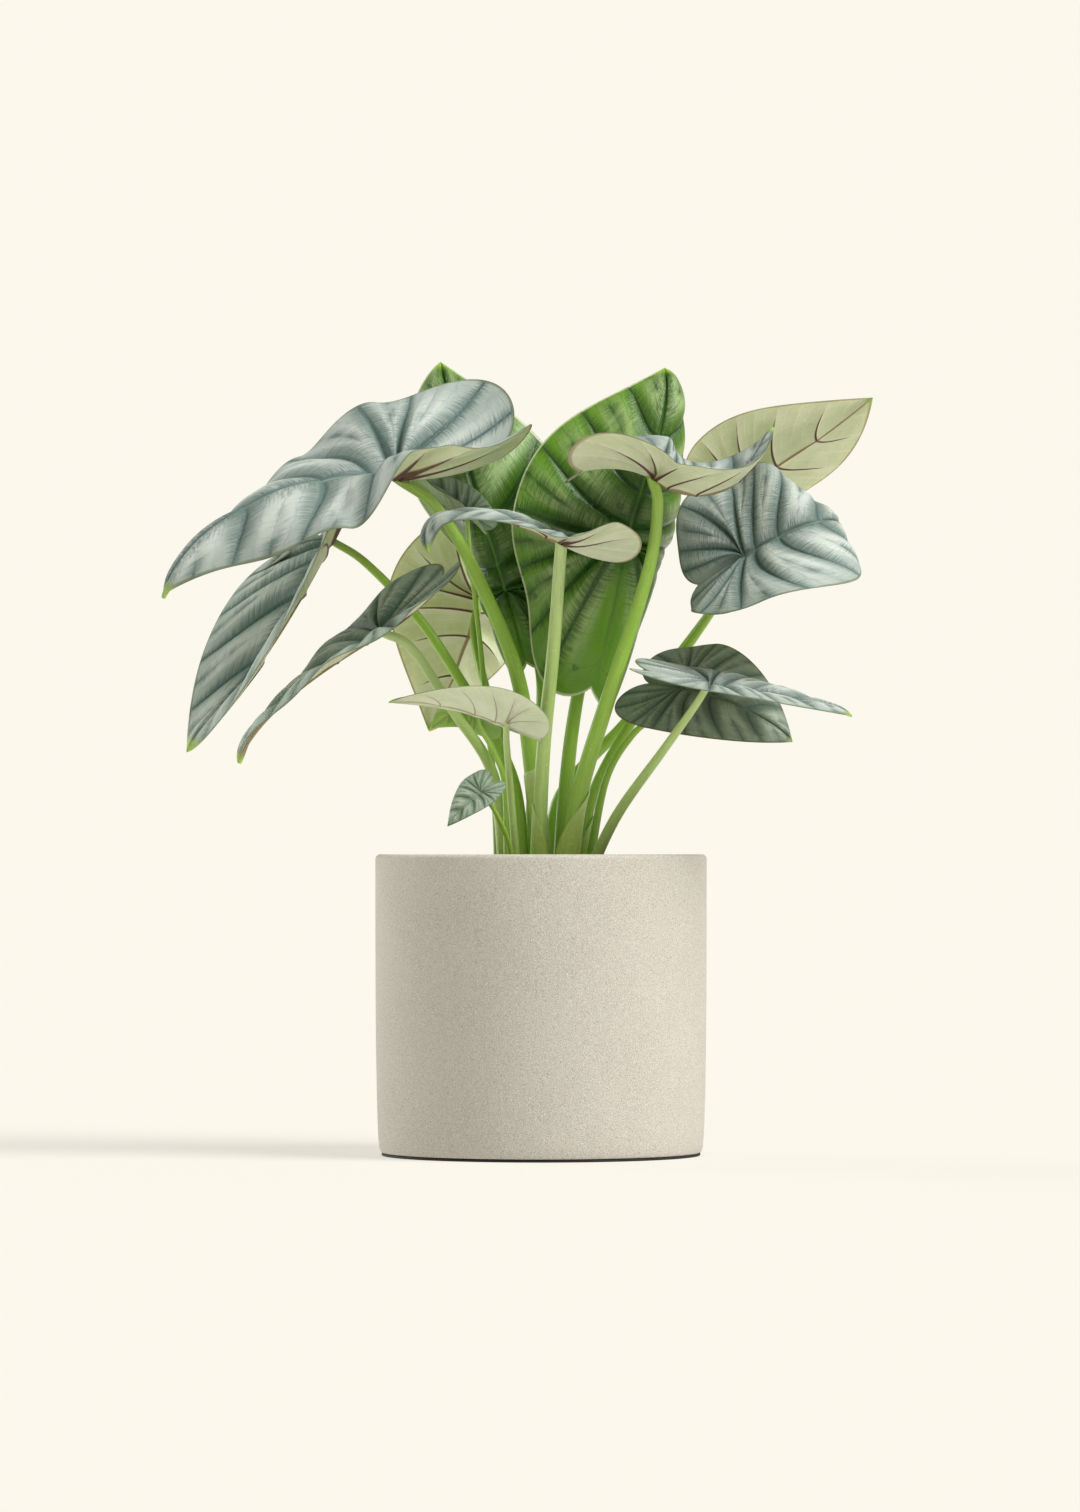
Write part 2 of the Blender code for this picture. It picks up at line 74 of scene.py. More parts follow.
def set_up_studio():
    scene = bpy.context.scene
    scene.view_settings.view_transform = "Standard"
    camera = bpy.data.objects.new("camera", bpy.data.cameras.new("camera"))
    camera.location = CAMERA_PLACE
    camera.rotation_euler = (radians(CAMERA_TILT), 0, 0)
    camera.data.lens = CAMERA_LENS
    camera.data.clip_end = CAMERA_REACH
    scene.collection.objects.link(camera)
    scene.camera = camera
    for name, light in (("key_light", KEY_LIGHT), ("rear_light", REAR_LIGHT)):
        data = bpy.data.lights.new(name, "SUN")
        data.energy = light["strength"]
        data.angle = radians(light["softness"])
        data.color = light["colour"]
        lamp = bpy.data.objects.new(name, data)
        side, up = radians(light["azimuth"]), radians(light["height"])
        towards = Vector((sin(side) * cos(up), -cos(side) * cos(up), sin(up)))
        lamp.rotation_euler = towards.to_track_quat("Z", "Y").to_euler()
        scene.collection.objects.link(lamp)
    world = bpy.data.worlds.new("cream_backdrop")
    scene.world = world
    world.use_nodes = True
    tree = world.node_tree
    seen = tree.nodes["Background"]
    seen.inputs["Color"].default_value = (*BACKDROP, 1)
    fill = tree.nodes.new("ShaderNodeBackground")
    fill.inputs["Color"].default_value = (*BACKDROP, 1)
    fill.inputs["Strength"].default_value = FILL_STRENGTH
    rays = tree.nodes.new("ShaderNodeLightPath")
    either = tree.nodes.new("ShaderNodeMixShader")
    tree.links.new(rays.outputs["Is Camera Ray"], either.inputs[0])
    tree.links.new(fill.outputs[0], either.inputs[1])
    tree.links.new(seen.outputs[0], either.inputs[2])
    tree.links.new(either.outputs[0], tree.nodes["World Output"].inputs["Surface"])
    half = FLOOR_HALF_WIDTH
    mesh = bpy.data.meshes.new("studio_floor")
    corners = [(-half, -half, 0), (half, -half, 0), (half, half, 0), (-half, half, 0)]
    mesh.from_pydata(corners, [], [(0, 1, 2, 3)])
    floor = bpy.data.objects.new("studio_floor", mesh)
    scene.collection.objects.link(floor)
    paper = bpy.data.materials.new("cream_paper")
    paper.use_nodes = True
    shader = paper.node_tree.nodes["Principled BSDF"]
    shader.inputs["Base Color"].default_value = (*floor_colour(), 1)
    shader.inputs["Roughness"].default_value = 1.0
    shader.inputs["Specular IOR Level"].default_value = 0.0
    shader.inputs["Emission Color"].default_value = (*BACKDROP, 1)
    shader.inputs["Emission Strength"].default_value = FLOOR_GLOW
    mesh.materials.append(paper)


set_up_studio()


# The pot: thrown stoneware with a rounded rim, straight sides that draw in a little at the foot, and a
# matte beige surface of fine sand with light and dark grains in it. It stands on the black pad below.
POT_RADIUS = 82.8
FOOT_RADIUS = 80.2
POT_HEIGHT = 150.2
POT_WALL = 6.0
POT_FLOOR = 9.0
RIM_ROUND = 2.4
RIM_STEPS = 8
SEAM = 0.01  # points of a turned body nearer than this are one
FOOT_EDGE = 0.8
INNER_CORNER = 8.0
SIDE_BEND = ((0.02, 110.0), (0.06, 80.0), (0.14, 55.0), (0.3, 30.0), (0.44, 18.0), (0.62, 8.0), (0.8, 4.0))
PAD_RADIUS = 79.6
PAD_THICKNESS = 1.2
SEAT_GAP = 0.3
POT_SIDES = 192
SAND = (0.565, 0.535, 0.475)
SAND_DARK = (0.36, 0.335, 0.29)
SAND_PALE = (0.72, 0.69, 0.63)
SAND_EVEN = 0.35  # how much the middle colour evens the grains out
SAND_DEPTH = 0.22
GRAIN_SIZE = 0.5
SPECK_SIZE = 1.2
DARK_SPECK = (0.24, 0.2, 0.16)
PALE_SPECK = (0.78, 0.76, 0.7)
SPECK_CHANCE = (0.80, 0.86)  # the fifth or so of the cells of the surface that holds a grain of each sort
CLOUD_SIZE = 38.0


class Wire:
    """A value on its way from one node to the next. Sums with it add Math nodes to its tree."""

    def __init__(self, socket):
        self.socket = socket
        self.tree = socket.id_data

    def sent(self, operation, *others):
        """What a Math node makes of this wire and the others."""
        inputs = dict(enumerate((self, *others)))
        return wire(self.tree, "ShaderNodeMath", inputs, operation=operation)

    def __add__(self, other):
        return self.sent("ADD", other)

    def __sub__(self, other):
        return self.sent("SUBTRACT", other)

    def __mul__(self, other):
        return self.sent("MULTIPLY", other)

    def __truediv__(self, other):
        return self.sent("DIVIDE", other)


def add_node(tree, kind, inputs=None, **settings):
    """A node of the tree, with its settings and with values or wires for its inputs."""
    made = tree.nodes.new(kind)
    for key, value in settings.items():
        setattr(made, key, value)
    for key, value in (inputs or {}).items():
        if isinstance(value, Wire):
            tree.links.new(value.socket, made.inputs[key])
        else:
            made.inputs[key].default_value = value
    return made


def wire(tree, kind, inputs=None, output=0, **settings):
    """The wire out of a new node."""
    return Wire(add_node(tree, kind, inputs, **settings).outputs[output])


def parts_of(vector):
    """The x, y and z of a vector's wire."""
    return [Wire(part) for part in add_node(vector.tree, "ShaderNodeSeparateXYZ", {0: vector}).outputs]


def vector_of(tree, x, y, z):
    return wire(tree, "ShaderNodeCombineXYZ", {"X": x, "Y": y, "Z": z})


def ramp(value, start, end, low=0.0, high=1.0):
    """value turned smoothly from low, where it is start, to high, where it is end."""
    inputs = {"Value": value, "From Min": start, "From Max": end, "To Min": low, "To Max": high}
    return wire(value.tree, "ShaderNodeMapRange", inputs, "Result", interpolation_type="SMOOTHSTEP")


def clouds(vector, scale, detail=2.0, roughness=0.5):
    """Noise from 0 to 1; scale is how often it changes in one unit of the vector."""
    inputs = {"Vector": vector, "Scale": scale, "Detail": detail, "Roughness": roughness}
    return wire(vector.tree, "ShaderNodeTexNoise", inputs, "Fac")


def place_on(tree):
    """Where a point of the surface lies, in metres."""
    return wire(tree, "ShaderNodeTexCoord", output="Object")


def painted(tree, base, *layers):
    """The base colour under coloured layers, each given as (the share of it that shows, its colour)."""
    for share, colour in layers:
        base, colour = ((*c, 1.0) if isinstance(c, tuple) and len(c) == 3 else c for c in (base, colour))
        base = wire(tree, "ShaderNodeMix", {0: share, 6: base, 7: colour}, 2, data_type="RGBA")
    return base


def new_material(name, roughness, specular=0.5, coat=0.0, coat_roughness=0.1, soft=0.0):
    """(material, its tree, its shader), with what is the same all over set on the shader itself."""
    made = bpy.data.materials.new(name)
    made.use_nodes = True
    shader = made.node_tree.nodes["Principled BSDF"]
    everywhere = {
        "Roughness": roughness,
        "Specular IOR Level": specular,
        "Coat Weight": coat,
        "Coat Roughness": coat_roughness,
        "Subsurface Weight": soft,
        "Subsurface Radius": (1.0, 1.0, 0.5),
        "Subsurface Scale": 1.5 * MM,
    }
    for label, value in everywhere.items():
        shader.inputs[label].default_value = value
    return made, made.node_tree, shader


def dress(shader, relief, depth, colour=None):
    """Gives the shader a relief, depth millimetres deep, and its colour."""
    tree = relief.tree
    bump = wire(tree, "ShaderNodeBump", {"Height": relief, "Distance": depth * MM, "Strength": 1.0})
    tree.links.new(bump.socket, shader.inputs["Normal"])
    if colour:
        tree.links.new(colour.socket, shader.inputs["Base Color"])


def new_group(name, kind, inputs, outputs):
    """(tree, wires from its inputs, its output node). An input is given by its value, or by its kind."""
    tree = bpy.data.node_groups.new(name, kind)
    words = {int: "Int", float: "Float"}
    for label, value in inputs.items():
        word = words.get(type(value), value)
        socket = tree.interface.new_socket(label, in_out="INPUT", socket_type="NodeSocket" + word)
        if word != value:
            socket.default_value = value
    for label, word in outputs.items():
        tree.interface.new_socket(label, in_out="OUTPUT", socket_type="NodeSocket" + word)
    given = tree.nodes.new("NodeGroupInput").outputs
    return tree, {label: Wire(given[label]) for label in inputs}, tree.nodes.new("NodeGroupOutput")


def end_shape(shape, skin, result):
    """Ends a tree that makes a shape: its faces are made real and get their skin."""
    real = wire(shape.tree, "GeometryNodeRealizeInstances", {"Geometry": shape})
    skinned = wire(shape.tree, "GeometryNodeSetMaterial", {"Geometry": real, "Material": skin})
    shape.tree.links.new(skinned.socket, result.inputs[0])


def smoothed(shape):
    return wire(shape.tree, "GeometryNodeSetShadeSmooth", {"Geometry": shape})


def turning_tree():
    """Turns a profile, points at (radius, 0, height) in their order, round the Z axis into a closed body."""
    tree, given, result = new_group(
        "turning",
        "GeometryNodeTree",
        {"Profile": "Geometry", "Sides": POT_SIDES, "Skin": "Material"},
        {"Body": "Geometry"},
    )
    profile = given["Profile"]
    rows = wire(tree, "GeometryNodeAttributeDomainSize", {"Geometry": profile}, "Point Count")
    columns = given["Sides"] + 1
    sheet = wire(tree, "GeometryNodeMeshGrid", {"Vertices X": rows, "Vertices Y": columns})
    index = wire(tree, "GeometryNodeInputIndex")
    row = ((index + 0.5) / columns).sent("FLOOR")
    column = index - row * columns
    at = wire(tree, "GeometryNodeInputPosition")
    inputs = {"Geometry": profile, "Value": at, "Index": row}
    radius, _, height = parts_of(wire(tree, "GeometryNodeSampleIndex", inputs, data_type="FLOAT_VECTOR"))
    angle = column / given["Sides"] * tau
    place = vector_of(tree, radius * angle.sent("COSINE"), radius * angle.sent("SINE"), height)
    moved = wire(tree, "GeometryNodeSetPosition", {"Geometry": sheet, "Position": place})
    closed = wire(tree, "GeometryNodeMergeByDistance", {"Geometry": moved, "Distance": SEAM * MM})
    end_shape(smoothed(closed), given["Skin"], result)
    return tree


def shown(name, mesh):
    """An object of that mesh, in the scene."""
    obj = bpy.data.objects.new(name, mesh)
    bpy.context.scene.collection.objects.link(obj)
    return obj


def grown(name, mesh, tree, **values):
    """An object whose plain mesh is what the tree makes of this one, its inputs given by name."""
    obj = shown(name, mesh)
    modifier = obj.modifiers.new("Shape", "NODES")
    modifier.node_group = tree
    for item in tree.interface.items_tree:
        if item.in_out == "INPUT" and item.name in values:
            modifier[item.identifier] = values[item.name]
    graph = bpy.context.evaluated_depsgraph_get()
    result = bpy.data.meshes.new_from_object(
        obj.evaluated_get(graph), preserve_all_data_layers=True, depsgraph=graph
    )
    obj.modifiers.clear()
    obj.data = result
    result.name = name
    return obj


def profile_mesh(name, profile):
    mesh = bpy.data.meshes.new(name)
    points = [(r * MM, 0.0, z * MM) for r, z in profile]
    mesh.from_pydata(points, [(i, i + 1) for i in range(len(points) - 1)], [])
    return mesh


def belongs(piece, slot, *nodes):
    """The piece rides with the pot and stands for the nodes, if any are given, which are hidden. slot is not
    used.
    """
    if nodes:
        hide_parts(*nodes)
    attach(piece, "root")


def pot_profile():
    inside = POT_RADIUS - POT_WALL
    bottom = PAD_THICKNESS + SEAT_GAP
    quarter = [i * pi / 2 / RIM_STEPS for i in range(RIM_STEPS + 1)]
    top = POT_HEIGHT - RIM_ROUND
    rim_in = [(inside + RIM_ROUND * (1 - cos(a)), top + RIM_ROUND * sin(a)) for a in quarter]
    rim_out = [(POT_RADIUS - RIM_ROUND * (1 - sin(a)), top + RIM_ROUND * cos(a)) for a in quarter]
    taper = POT_RADIUS - FOOT_RADIUS
    side = [(POT_RADIUS - share * taper, height) for share, height in SIDE_BEND]
    round_off = FOOT_EDGE * (1 - cos(pi / 4))
    foot = [
        (FOOT_RADIUS, bottom + FOOT_EDGE),
        (FOOT_RADIUS - round_off, bottom + round_off),
        (FOOT_RADIUS - FOOT_EDGE, bottom),
        (0.0, bottom),
    ]
    corner = [
        (inside + INNER_CORNER * (cos(a) - 1), POT_FLOOR + INNER_CORNER * (1 - sin(a)))
        for a in (pi / 2, pi / 3, pi / 4, pi / 6, 0)
    ]
    return [(0.0, POT_FLOOR)] + corner + rim_in + rim_out + side + foot


def stoneware():
    made, tree, shader = new_material("sanded_stoneware", roughness=0.88, specular=0.25)
    where = place_on(tree)
    grain = clouds(where, 1 / (GRAIN_SIZE * MM), detail=3, roughness=0.65)
    patches = clouds(where, 1 / (CLOUD_SIZE * MM), detail=3)
    inputs = {"Vector": where, "Scale": 1 / (SPECK_SIZE * MM), "Randomness": 1.0}
    cells = add_node(tree, "ShaderNodeTexVoronoi", inputs).outputs
    chances = add_node(tree, "ShaderNodeSeparateColor", {0: Wire(cells["Color"])}).outputs
    near = ramp(Wire(cells["Distance"]), 0.30, 0.16)
    dark_speck, pale_speck = (near * ramp(Wire(chance), *SPECK_CHANCE) for chance in chances[:2])
    colour = painted(
        tree,
        SAND_DARK,
        (ramp(grain, 0.36, 0.66), SAND_PALE),
        (SAND_EVEN, SAND),
        (ramp(patches, 0.35, 0.7) * 0.1, SAND_PALE),
        (dark_speck * 0.6, DARK_SPECK),
        (pale_speck * 0.25, PALE_SPECK),
    )
    dress(shader, grain + near * 0.4, SAND_DEPTH, colour)
    return made


turning = turning_tree()
pot_line = profile_mesh("pot_profile", pot_profile())
pot = grown("stoneware_pot", pot_line, turning, Sides=POT_SIDES, Skin=stoneware())
belongs(pot, "stoneware", "pot")


# The base pad: a thin disc of black rubber glued under the foot. It shows as a dark line at the floor.
PAD_EDGE = 0.3
RUBBER_DARK = (0.012, 0.012, 0.011)
RUBBER_WORN = (0.03, 0.03, 0.027)
RUBBER_DEPTH = 0.08


def pad_profile():
    edge = PAD_RADIUS - PAD_EDGE
    top = [(0.0, PAD_THICKNESS), (edge, PAD_THICKNESS), (PAD_RADIUS, PAD_THICKNESS - PAD_EDGE)]
    return top + [(PAD_RADIUS, PAD_EDGE), (edge, 0.0), (0.0, 0.0)]


def black_rubber():
    made, tree, shader = new_material("black_rubber", roughness=0.75, specular=0.3)
    grain = clouds(place_on(tree), 1 / (GRAIN_SIZE * MM), detail=2)
    dress(shader, grain, RUBBER_DEPTH, painted(tree, RUBBER_DARK, (grain, RUBBER_WORN)))
    return made


pad_line = profile_mesh("pad_profile", pad_profile())
pad = grown("rubber_pad", pad_line, turning, Sides=POT_SIDES, Skin=black_rubber())
belongs(pad, "base_rubber", "base_pad")


# The potting mix: dark, damp and crumbly, heaped slightly round the stalks. Bits of bark and white grains
# of perlite lie loose on it.
SOIL_LEVEL = 137.0
SOIL_MOUND = 3.0
SOIL_RINGS = 56
SOIL_SIDES = 180
CLODS = ((14.0, 0.9), (6.0, 0.5), (2.6, 0.35))
MIX_DARK = (0.022, 0.013, 0.008)
MIX_LIGHT = (0.085, 0.052, 0.03)
BARK_DARK = (0.03, 0.016, 0.008)
BARK_LIGHT = (0.14, 0.08, 0.042)
PERLITE_DARK = (0.42, 0.4, 0.36)
PERLITE_LIGHT = (0.78, 0.76, 0.71)
BARK = dict(amount=42000, smallest=0.7, largest=2.6, flatness=0.5, seed=4)
PERLITE = dict(amount=9000, smallest=0.5, largest=1.5, flatness=0.85, seed=9)
UPWARD = 0.4  # crumbs lie where the surface faces up at least this much
BREAKS = dict(fineness=900.0, depth=1.2)  # the noise that breaks the crumbs' roundness


def soil_height(x, y):
    """Height over the soil's level, in millimetres."""
    share = (x * x + y * y) ** 0.5 / (POT_RADIUS - POT_WALL)
    clods = sum(height * noise.noise(Vector((x / size, y / size, size))) for size, height in CLODS)
    return SOIL_MOUND * (1 - share**2) + clods


def soil_mesh():
    inside = POT_RADIUS - POT_WALL - SEAT_GAP
    low = POT_FLOOR + SEAT_GAP
    top = [(inside * i / SOIL_RINGS, SOIL_LEVEL) for i in range(SOIL_RINGS + 1)]
    side = [(inside, low + INNER_CORNER), (inside - INNER_CORNER, low), (0.0, low)]
    return profile_mesh("soil_profile", top + side)


def damp_mix(name, dark, light, size, depth, roughness):
    made, tree, shader = new_material(name, roughness=roughness, specular=0.3)
    grain = clouds(place_on(tree), 1 / (size * MM), detail=4, roughness=0.7)
    dress(shader, grain, depth, painted(tree, dark, (ramp(grain, 0.3, 0.72), light)))
    return made


def random_vector(tree, lowest, highest, seed):
    inputs = {0: lowest, 1: highest, "Seed": seed}
    return wire(tree, "FunctionNodeRandomValue", inputs, data_type="FLOAT_VECTOR")


def scaled(vector, factor):
    return wire(vector.tree, "ShaderNodeVectorMath", {0: vector, "Scale": factor}, operation="SCALE")


def set_on(points, thing, turn, scale):
    """The thing put on every point, turned and scaled, with real faces."""
    inputs = {"Points": points, "Instance": thing, "Rotation": turn, "Scale": scale}
    laid = wire(points.tree, "GeometryNodeInstanceOnPoints", inputs)
    return wire(points.tree, "GeometryNodeRealizeInstances", {"Geometry": laid})


def scatter_tree():
    """Strews angular grains over the upper side of a surface."""
    tree, given, result = new_group(
        "scatter",
        "GeometryNodeTree",
        {
            "Ground": "Geometry",
            "Amount": 1000.0,
            "Smallest": 0.001,
            "Largest": 0.002,
            "Flatness": 0.5,
            "Seed": 1,
            "Skin": "Material",
        },
        {"Grains": "Geometry"},
    )
    _, _, upward = parts_of(wire(tree, "GeometryNodeInputNormal"))
    inputs = {
        "Mesh": given["Ground"],
        "Selection": upward.sent("GREATER_THAN", UPWARD),
        "Density": given["Amount"],
        "Seed": given["Seed"],
    }
    points = wire(tree, "GeometryNodeDistributePointsOnFaces", inputs, "Points")
    grain = wire(tree, "GeometryNodeMeshIcoSphere", {"Radius": 0.5, "Subdivisions": 2}, "Mesh")
    inputs = {2: given["Smallest"], 3: given["Largest"], "Seed": given["Seed"]}
    size = wire(tree, "FunctionNodeRandomValue", inputs, 1, data_type="FLOAT")
    stretch = random_vector(tree, (0.6, 0.5, 0.5), (1.4, 1.0, 1.0), seed=3)
    flat = vector_of(tree, 1.0, 1.0, given["Flatness"])
    shape = wire(tree, "ShaderNodeVectorMath", {0: stretch, 1: flat}, operation="MULTIPLY")
    turn = random_vector(tree, (-0.6, -0.6, 0.0), (0.6, 0.6, tau), seed=5)
    grains = set_on(points, grain, turn, scaled(shape, size))
    at = wire(tree, "GeometryNodeInputPosition")
    inputs = {"Vector": at, "Scale": BREAKS["fineness"], "Detail": 1.0}
    rough = wire(tree, "ShaderNodeTexNoise", inputs, "Color")
    centred = wire(tree, "ShaderNodeVectorMath", {0: rough, 1: (0.5, 0.5, 0.5)}, operation="SUBTRACT")
    inputs = {"Geometry": grains, "Offset": scaled(centred, BREAKS["depth"] * MM)}
    end_shape(wire(tree, "GeometryNodeSetPosition", inputs), given["Skin"], result)
    return tree


mix_skin = damp_mix("damp_potting_mix", MIX_DARK, MIX_LIGHT, size=2.2, depth=1.0, roughness=0.9)
soil = grown("potting_mix", soil_mesh(), turning, Sides=SOIL_SIDES, Skin=mix_skin)
for vertex in soil.data.vertices:
    if vertex.co.z > (SOIL_LEVEL - 1) * MM:
        vertex.co.z += soil_height(vertex.co.x / MM, vertex.co.y / MM) * MM
belongs(soil, "potting_soil", "soil")
bark_skin = damp_mix("bark_bits", BARK_DARK, BARK_LIGHT, size=1.1, depth=0.4, roughness=0.85)
perlite_skin = damp_mix("perlite_grains", PERLITE_DARK, PERLITE_LIGHT, size=0.8, depth=0.3, roughness=0.8)
scatter = scatter_tree()
for name, kind, skin in (("bark_crumbs", BARK, bark_skin), ("perlite_crumbs", PERLITE, perlite_skin)):
    crumbs = grown(
        name,
        soil.data.copy(),
        scatter,
        Amount=float(kind["amount"]),
        Smallest=kind["smallest"] * MM,
        Largest=kind["largest"] * MM,
        Flatness=kind["flatness"],
        Seed=kind["seed"],
        Skin=skin,
    )
    belongs(crumbs, "potting_soil")


# The leaves. Each blade is a quilted arrowhead with rounded back lobes, carried near its middle by the
# stalk. The silver ones have slate-green feathered bands along the veins; beneath they are pale green
# with thin maroon veins. The two upright ones at the back are young, green and glossy.

# How a blade's flat outline and its veins are laid out, in shares of its length from the stalk to the
# tip. Bearings round the stalk are in degrees from the midrib.
SIDE_VEINS = 7
REAR_VEINS = 2  # side veins that start at the stalk itself and run into the back lobes
HALF_WIDTH = 0.44
LOBE = 0.12
LOBE_BEARING = 150
LOBE_SPREAD = 28
NOTCH = 0.15
NOTCH_SPREAD = 10
TIP_ANGLE = 26
BEARING_POWER = 1.35  # side veins stand closer round the tip
FOOT_POWER = 2.5  # their feet stand closer near the stalk
SWEEP_POWER = 1.7  # they curve forwards on the way to the margin
QUILT = 0.012
QUILT_SHARPNESS = 0.8
QUILT_FILL = 0.7
WAVE_TURNS = 0.5
WAVE_SHIFT = 0.37
CREASE = 0.03
FOLD_STEPS = 16
FOLD_TURNING = (-0.3, 0.15)
REAR = 1.0
HEEL = 0.5

# How each leaf stands. Points are (x, y, z) in millimetres. The midrib leaves the stalk's top towards
# `bow`, passes by `dip` and ends at `tip`. `face` is the way the upper side looks at the stalk and
# `tip_face` at the tip. `left` and `right` say how far each half folds up, in degrees, at the back
# lobes, just past the stalk and at the tip; `left_turning` and `right_turning` say where along the
# midrib the first two are reached. Behind the stalk the blade rises by `back` degrees, or bends down
# its middle line to the point `heel`, where it faces `heel_face`. `size` is the blade's length.
# `side`, `lobe`, `lobe_at`, `notch` and `point` change its outline, `wave` how its margin rises and
# falls, and `crease` how near the midrib each half bends.
LEAVES = {
    "upper_left": dict(
        stalk=(-71, -18, 337), bow=(-116, -38, 340), dip=(-166, -55, 322), tip=(-186, -60, 276),
        face=(0, -0.5, 0.86), tip_face=(-0.3, -0.5, 0.6),
        left=(43, -4, -50), right=(22, -16, -95), left_turning=(0.08, 0.32), right_turning=(0, 0.22),
        back=38, size=122, lobe=0.28, wave=0.02,
    ),
    "hanging_left": dict(
        stalk=(-106, 38, 309), bow=(-117, 14, 285), dip=(-138, -12, 240), tip=(-176, -22, 201),
        face=(-0.65, -0.6, 0.46), tip_face=(-0.6, -0.65, 0.4),
        heel=(-118, 78, 306), heel_face=(-0.3, -0.1, 1),
        left=(26, 40, 38), right=(0, 0, 0), size=108, lobe=-0.22, notch=0, point=62, side=0.36,
    ),
    "slanting_left": dict(
        stalk=(-78, -30, 260), bow=(-98, -36, 248), dip=(-140, -44, 222), tip=(-149, -48, 195),
        face=(-0.6, -0.24, 0.77), tip_face=(-0.8, -0.03, 0.55),
        left=(14, 8, 0), right=(14, 6, 0), back=22, size=100, wave=0.015,
    ),
    "middle": dict(
        stalk=(10, -45, 303), bow=(-25, -52, 322), dip=(-62, -58, 325), tip=(-55, -62, 298),
        face=(0, -0.15, 0.98), tip_face=(-0.4, -0.2, 0.8),
        left=(45, 5, -10), right=(14, 5, -10), back=28, size=80,
    ),
    "upper_right": dict(
        stalk=(55, -46, 335), bow=(76, -42, 322), dip=(102, -30, 325), tip=(116, -14, 363),
        face=(-0.1, -0.05, 0.98), tip_face=(-0.6, -0.1, 0.7),
        left=(35, 46, 40), right=(6, 15, 14), size=88, lobe=0.0, notch=0.08,
        heel=(1, -60, 333), heel_face=(0.3, 0.72, 0.52),
    ),
    "far_right": dict(
        stalk=(101, 42, 334), bow=(118, 35, 347), dip=(140, 25, 357), tip=(167, 18, 380),
        face=(-0.35, 0.75, 0.55), tip_face=(-0.3, 0.75, 0.6),
        left=(15, 20, 5), right=(15, 20, 5), back=0, size=80, lobe=-0.12, notch=0.08, point=38, side=0.39,
    ),
    "broad_right": dict(
        stalk=(101, -12, 298), bow=(124, -27, 312), dip=(148, -23, 322), tip=(148, 14, 313),
        face=(0.08, -0.76, 0.62), tip_face=(0.6, -0.58, 0.54),
        left=(45, 2, -10), right=(26, 20, -14),
        back=0, size=91, point=48, side=0.44, lobe=-0.06, notch=0.12, wave=0.015,
    ),
    "low_right": dict(
        stalk=(82, -50, 233), bow=(106, -52, 229), dip=(132, -52, 226), tip=(153, -52, 218),
        face=(0.1, -0.17, 0.98), tip_face=(0.3, -0.2, 0.93),
        left=(5, 5, 0), right=(5, 5, 0), back=10, size=78,
    ),
    "shaded_right": dict(
        stalk=(70, -4, 233), bow=(86, -18, 230), dip=(108, -24, 222), tip=(125, -16, 206),
        face=(0.1, -0.85, 0.5), tip_face=(0.2, -0.8, 0.5),
        left=(0, 5, 0), right=(0, 5, 0), back=0, size=64, point=34,
    ),
    "back_left": dict(
        stalk=(-31, 70, 281), bow=(-37, 76, 262), dip=(-45, 85, 236), tip=(-58, 93, 214),
        face=(-0.45, 0.8, 0.35), tip_face=(-0.45, 0.8, 0.35),
        left=(30, 30, 10), right=(35, 25, 15), back=10, size=102, lobe=0.02, notch=0.08, wave=0.015,
    ),
    "low_left": dict(
        stalk=(-17, -42, 214), bow=(-37, -45, 222), dip=(-55, -48, 227), tip=(-75, -50, 225),
        face=(0, 0.45, 0.9), tip_face=(0, 0.4, 0.9),
        left=(20, 22, 5), right=(28, 28, 15), back=0, size=46, lobe=0.04, notch=0.05,
    ),
    "low_green": dict(
        stalk=(-32, -4, 221), bow=(-38, -2, 224), dip=(-47, -1, 222), tip=(-55, -3, 213),
        face=(0, 0.75, 0.6), tip_face=(0, 0.75, 0.6),
        left=(5, 5, 0), right=(5, 5, 0), back=0, size=30,
    ),
    "baby": dict(
        stalk=(-29.5, -41, 181), bow=(-34, -44, 177), dip=(-41, -46, 171), tip=(-46, -44, 164),
        face=(-0.35, -0.9, 0.2), tip_face=(-0.5, -0.75, 0.3),
        left=(15, 15, 10), right=(15, 15, 10), back=0, size=25, side=0.4,
    ),
    "green_left": dict(
        stalk=(-18, 10, 282), bow=(-34, 10, 335), dip=(-49, 28, 380), tip=(-51, 46, 400),
        face=(0.2, -0.95, 0.1), tip_face=(0.1, -0.6, 0.7),
        left=(-108, -100, -40), right=(0, 0, 0), crease=0.06, back=0, size=106, point=45, side=0.42,
        lobe=0.02, notch=0.08,
    ),
    "green_right": dict(
        stalk=(42.5, -9, 304), bow=(48, -11, 333), dip=(68, 1, 370), tip=(62, 20, 395),
        face=(-0.1, -0.97, 0.1), tip_face=(0, -0.6, 0.7), heel=(32, -6, 258), heel_face=(-0.1, -0.97, 0.05),
        left=(0, 0, 0), right=(-100, -92, -130), crease=0.12, size=94, point=65, side=0.5,
        lobe=0.37, lobe_at=172, notch=0.1,
    ),
    "folded_young": dict(
        stalk=(-37, -2, 320), bow=(-45, -1, 328), dip=(-54, 1, 336), tip=(-60, 2, 342),
        face=(-0.4, -0.35, 0.8), tip_face=(-0.4, -0.35, 0.8),
        left=(65, 65, 40), right=(65, 65, 40), back=0, size=30,
    ),
}


def margin_radius(bearing, shape):
    """How far the margin lies from the stalk at this bearing from the midrib, in shares of the size."""
    point = (1 - shape["side"]) * np.exp(-bearing / radians(shape["point"]))
    lobe = shape["lobe"] * np.exp(-(((bearing - radians(shape["lobe_at"])) / radians(LOBE_SPREAD)) ** 2))
    notch = shape["notch"] * np.exp(-(pi - bearing) / radians(NOTCH_SPREAD))
    return shape["side"] + point + lobe - notch


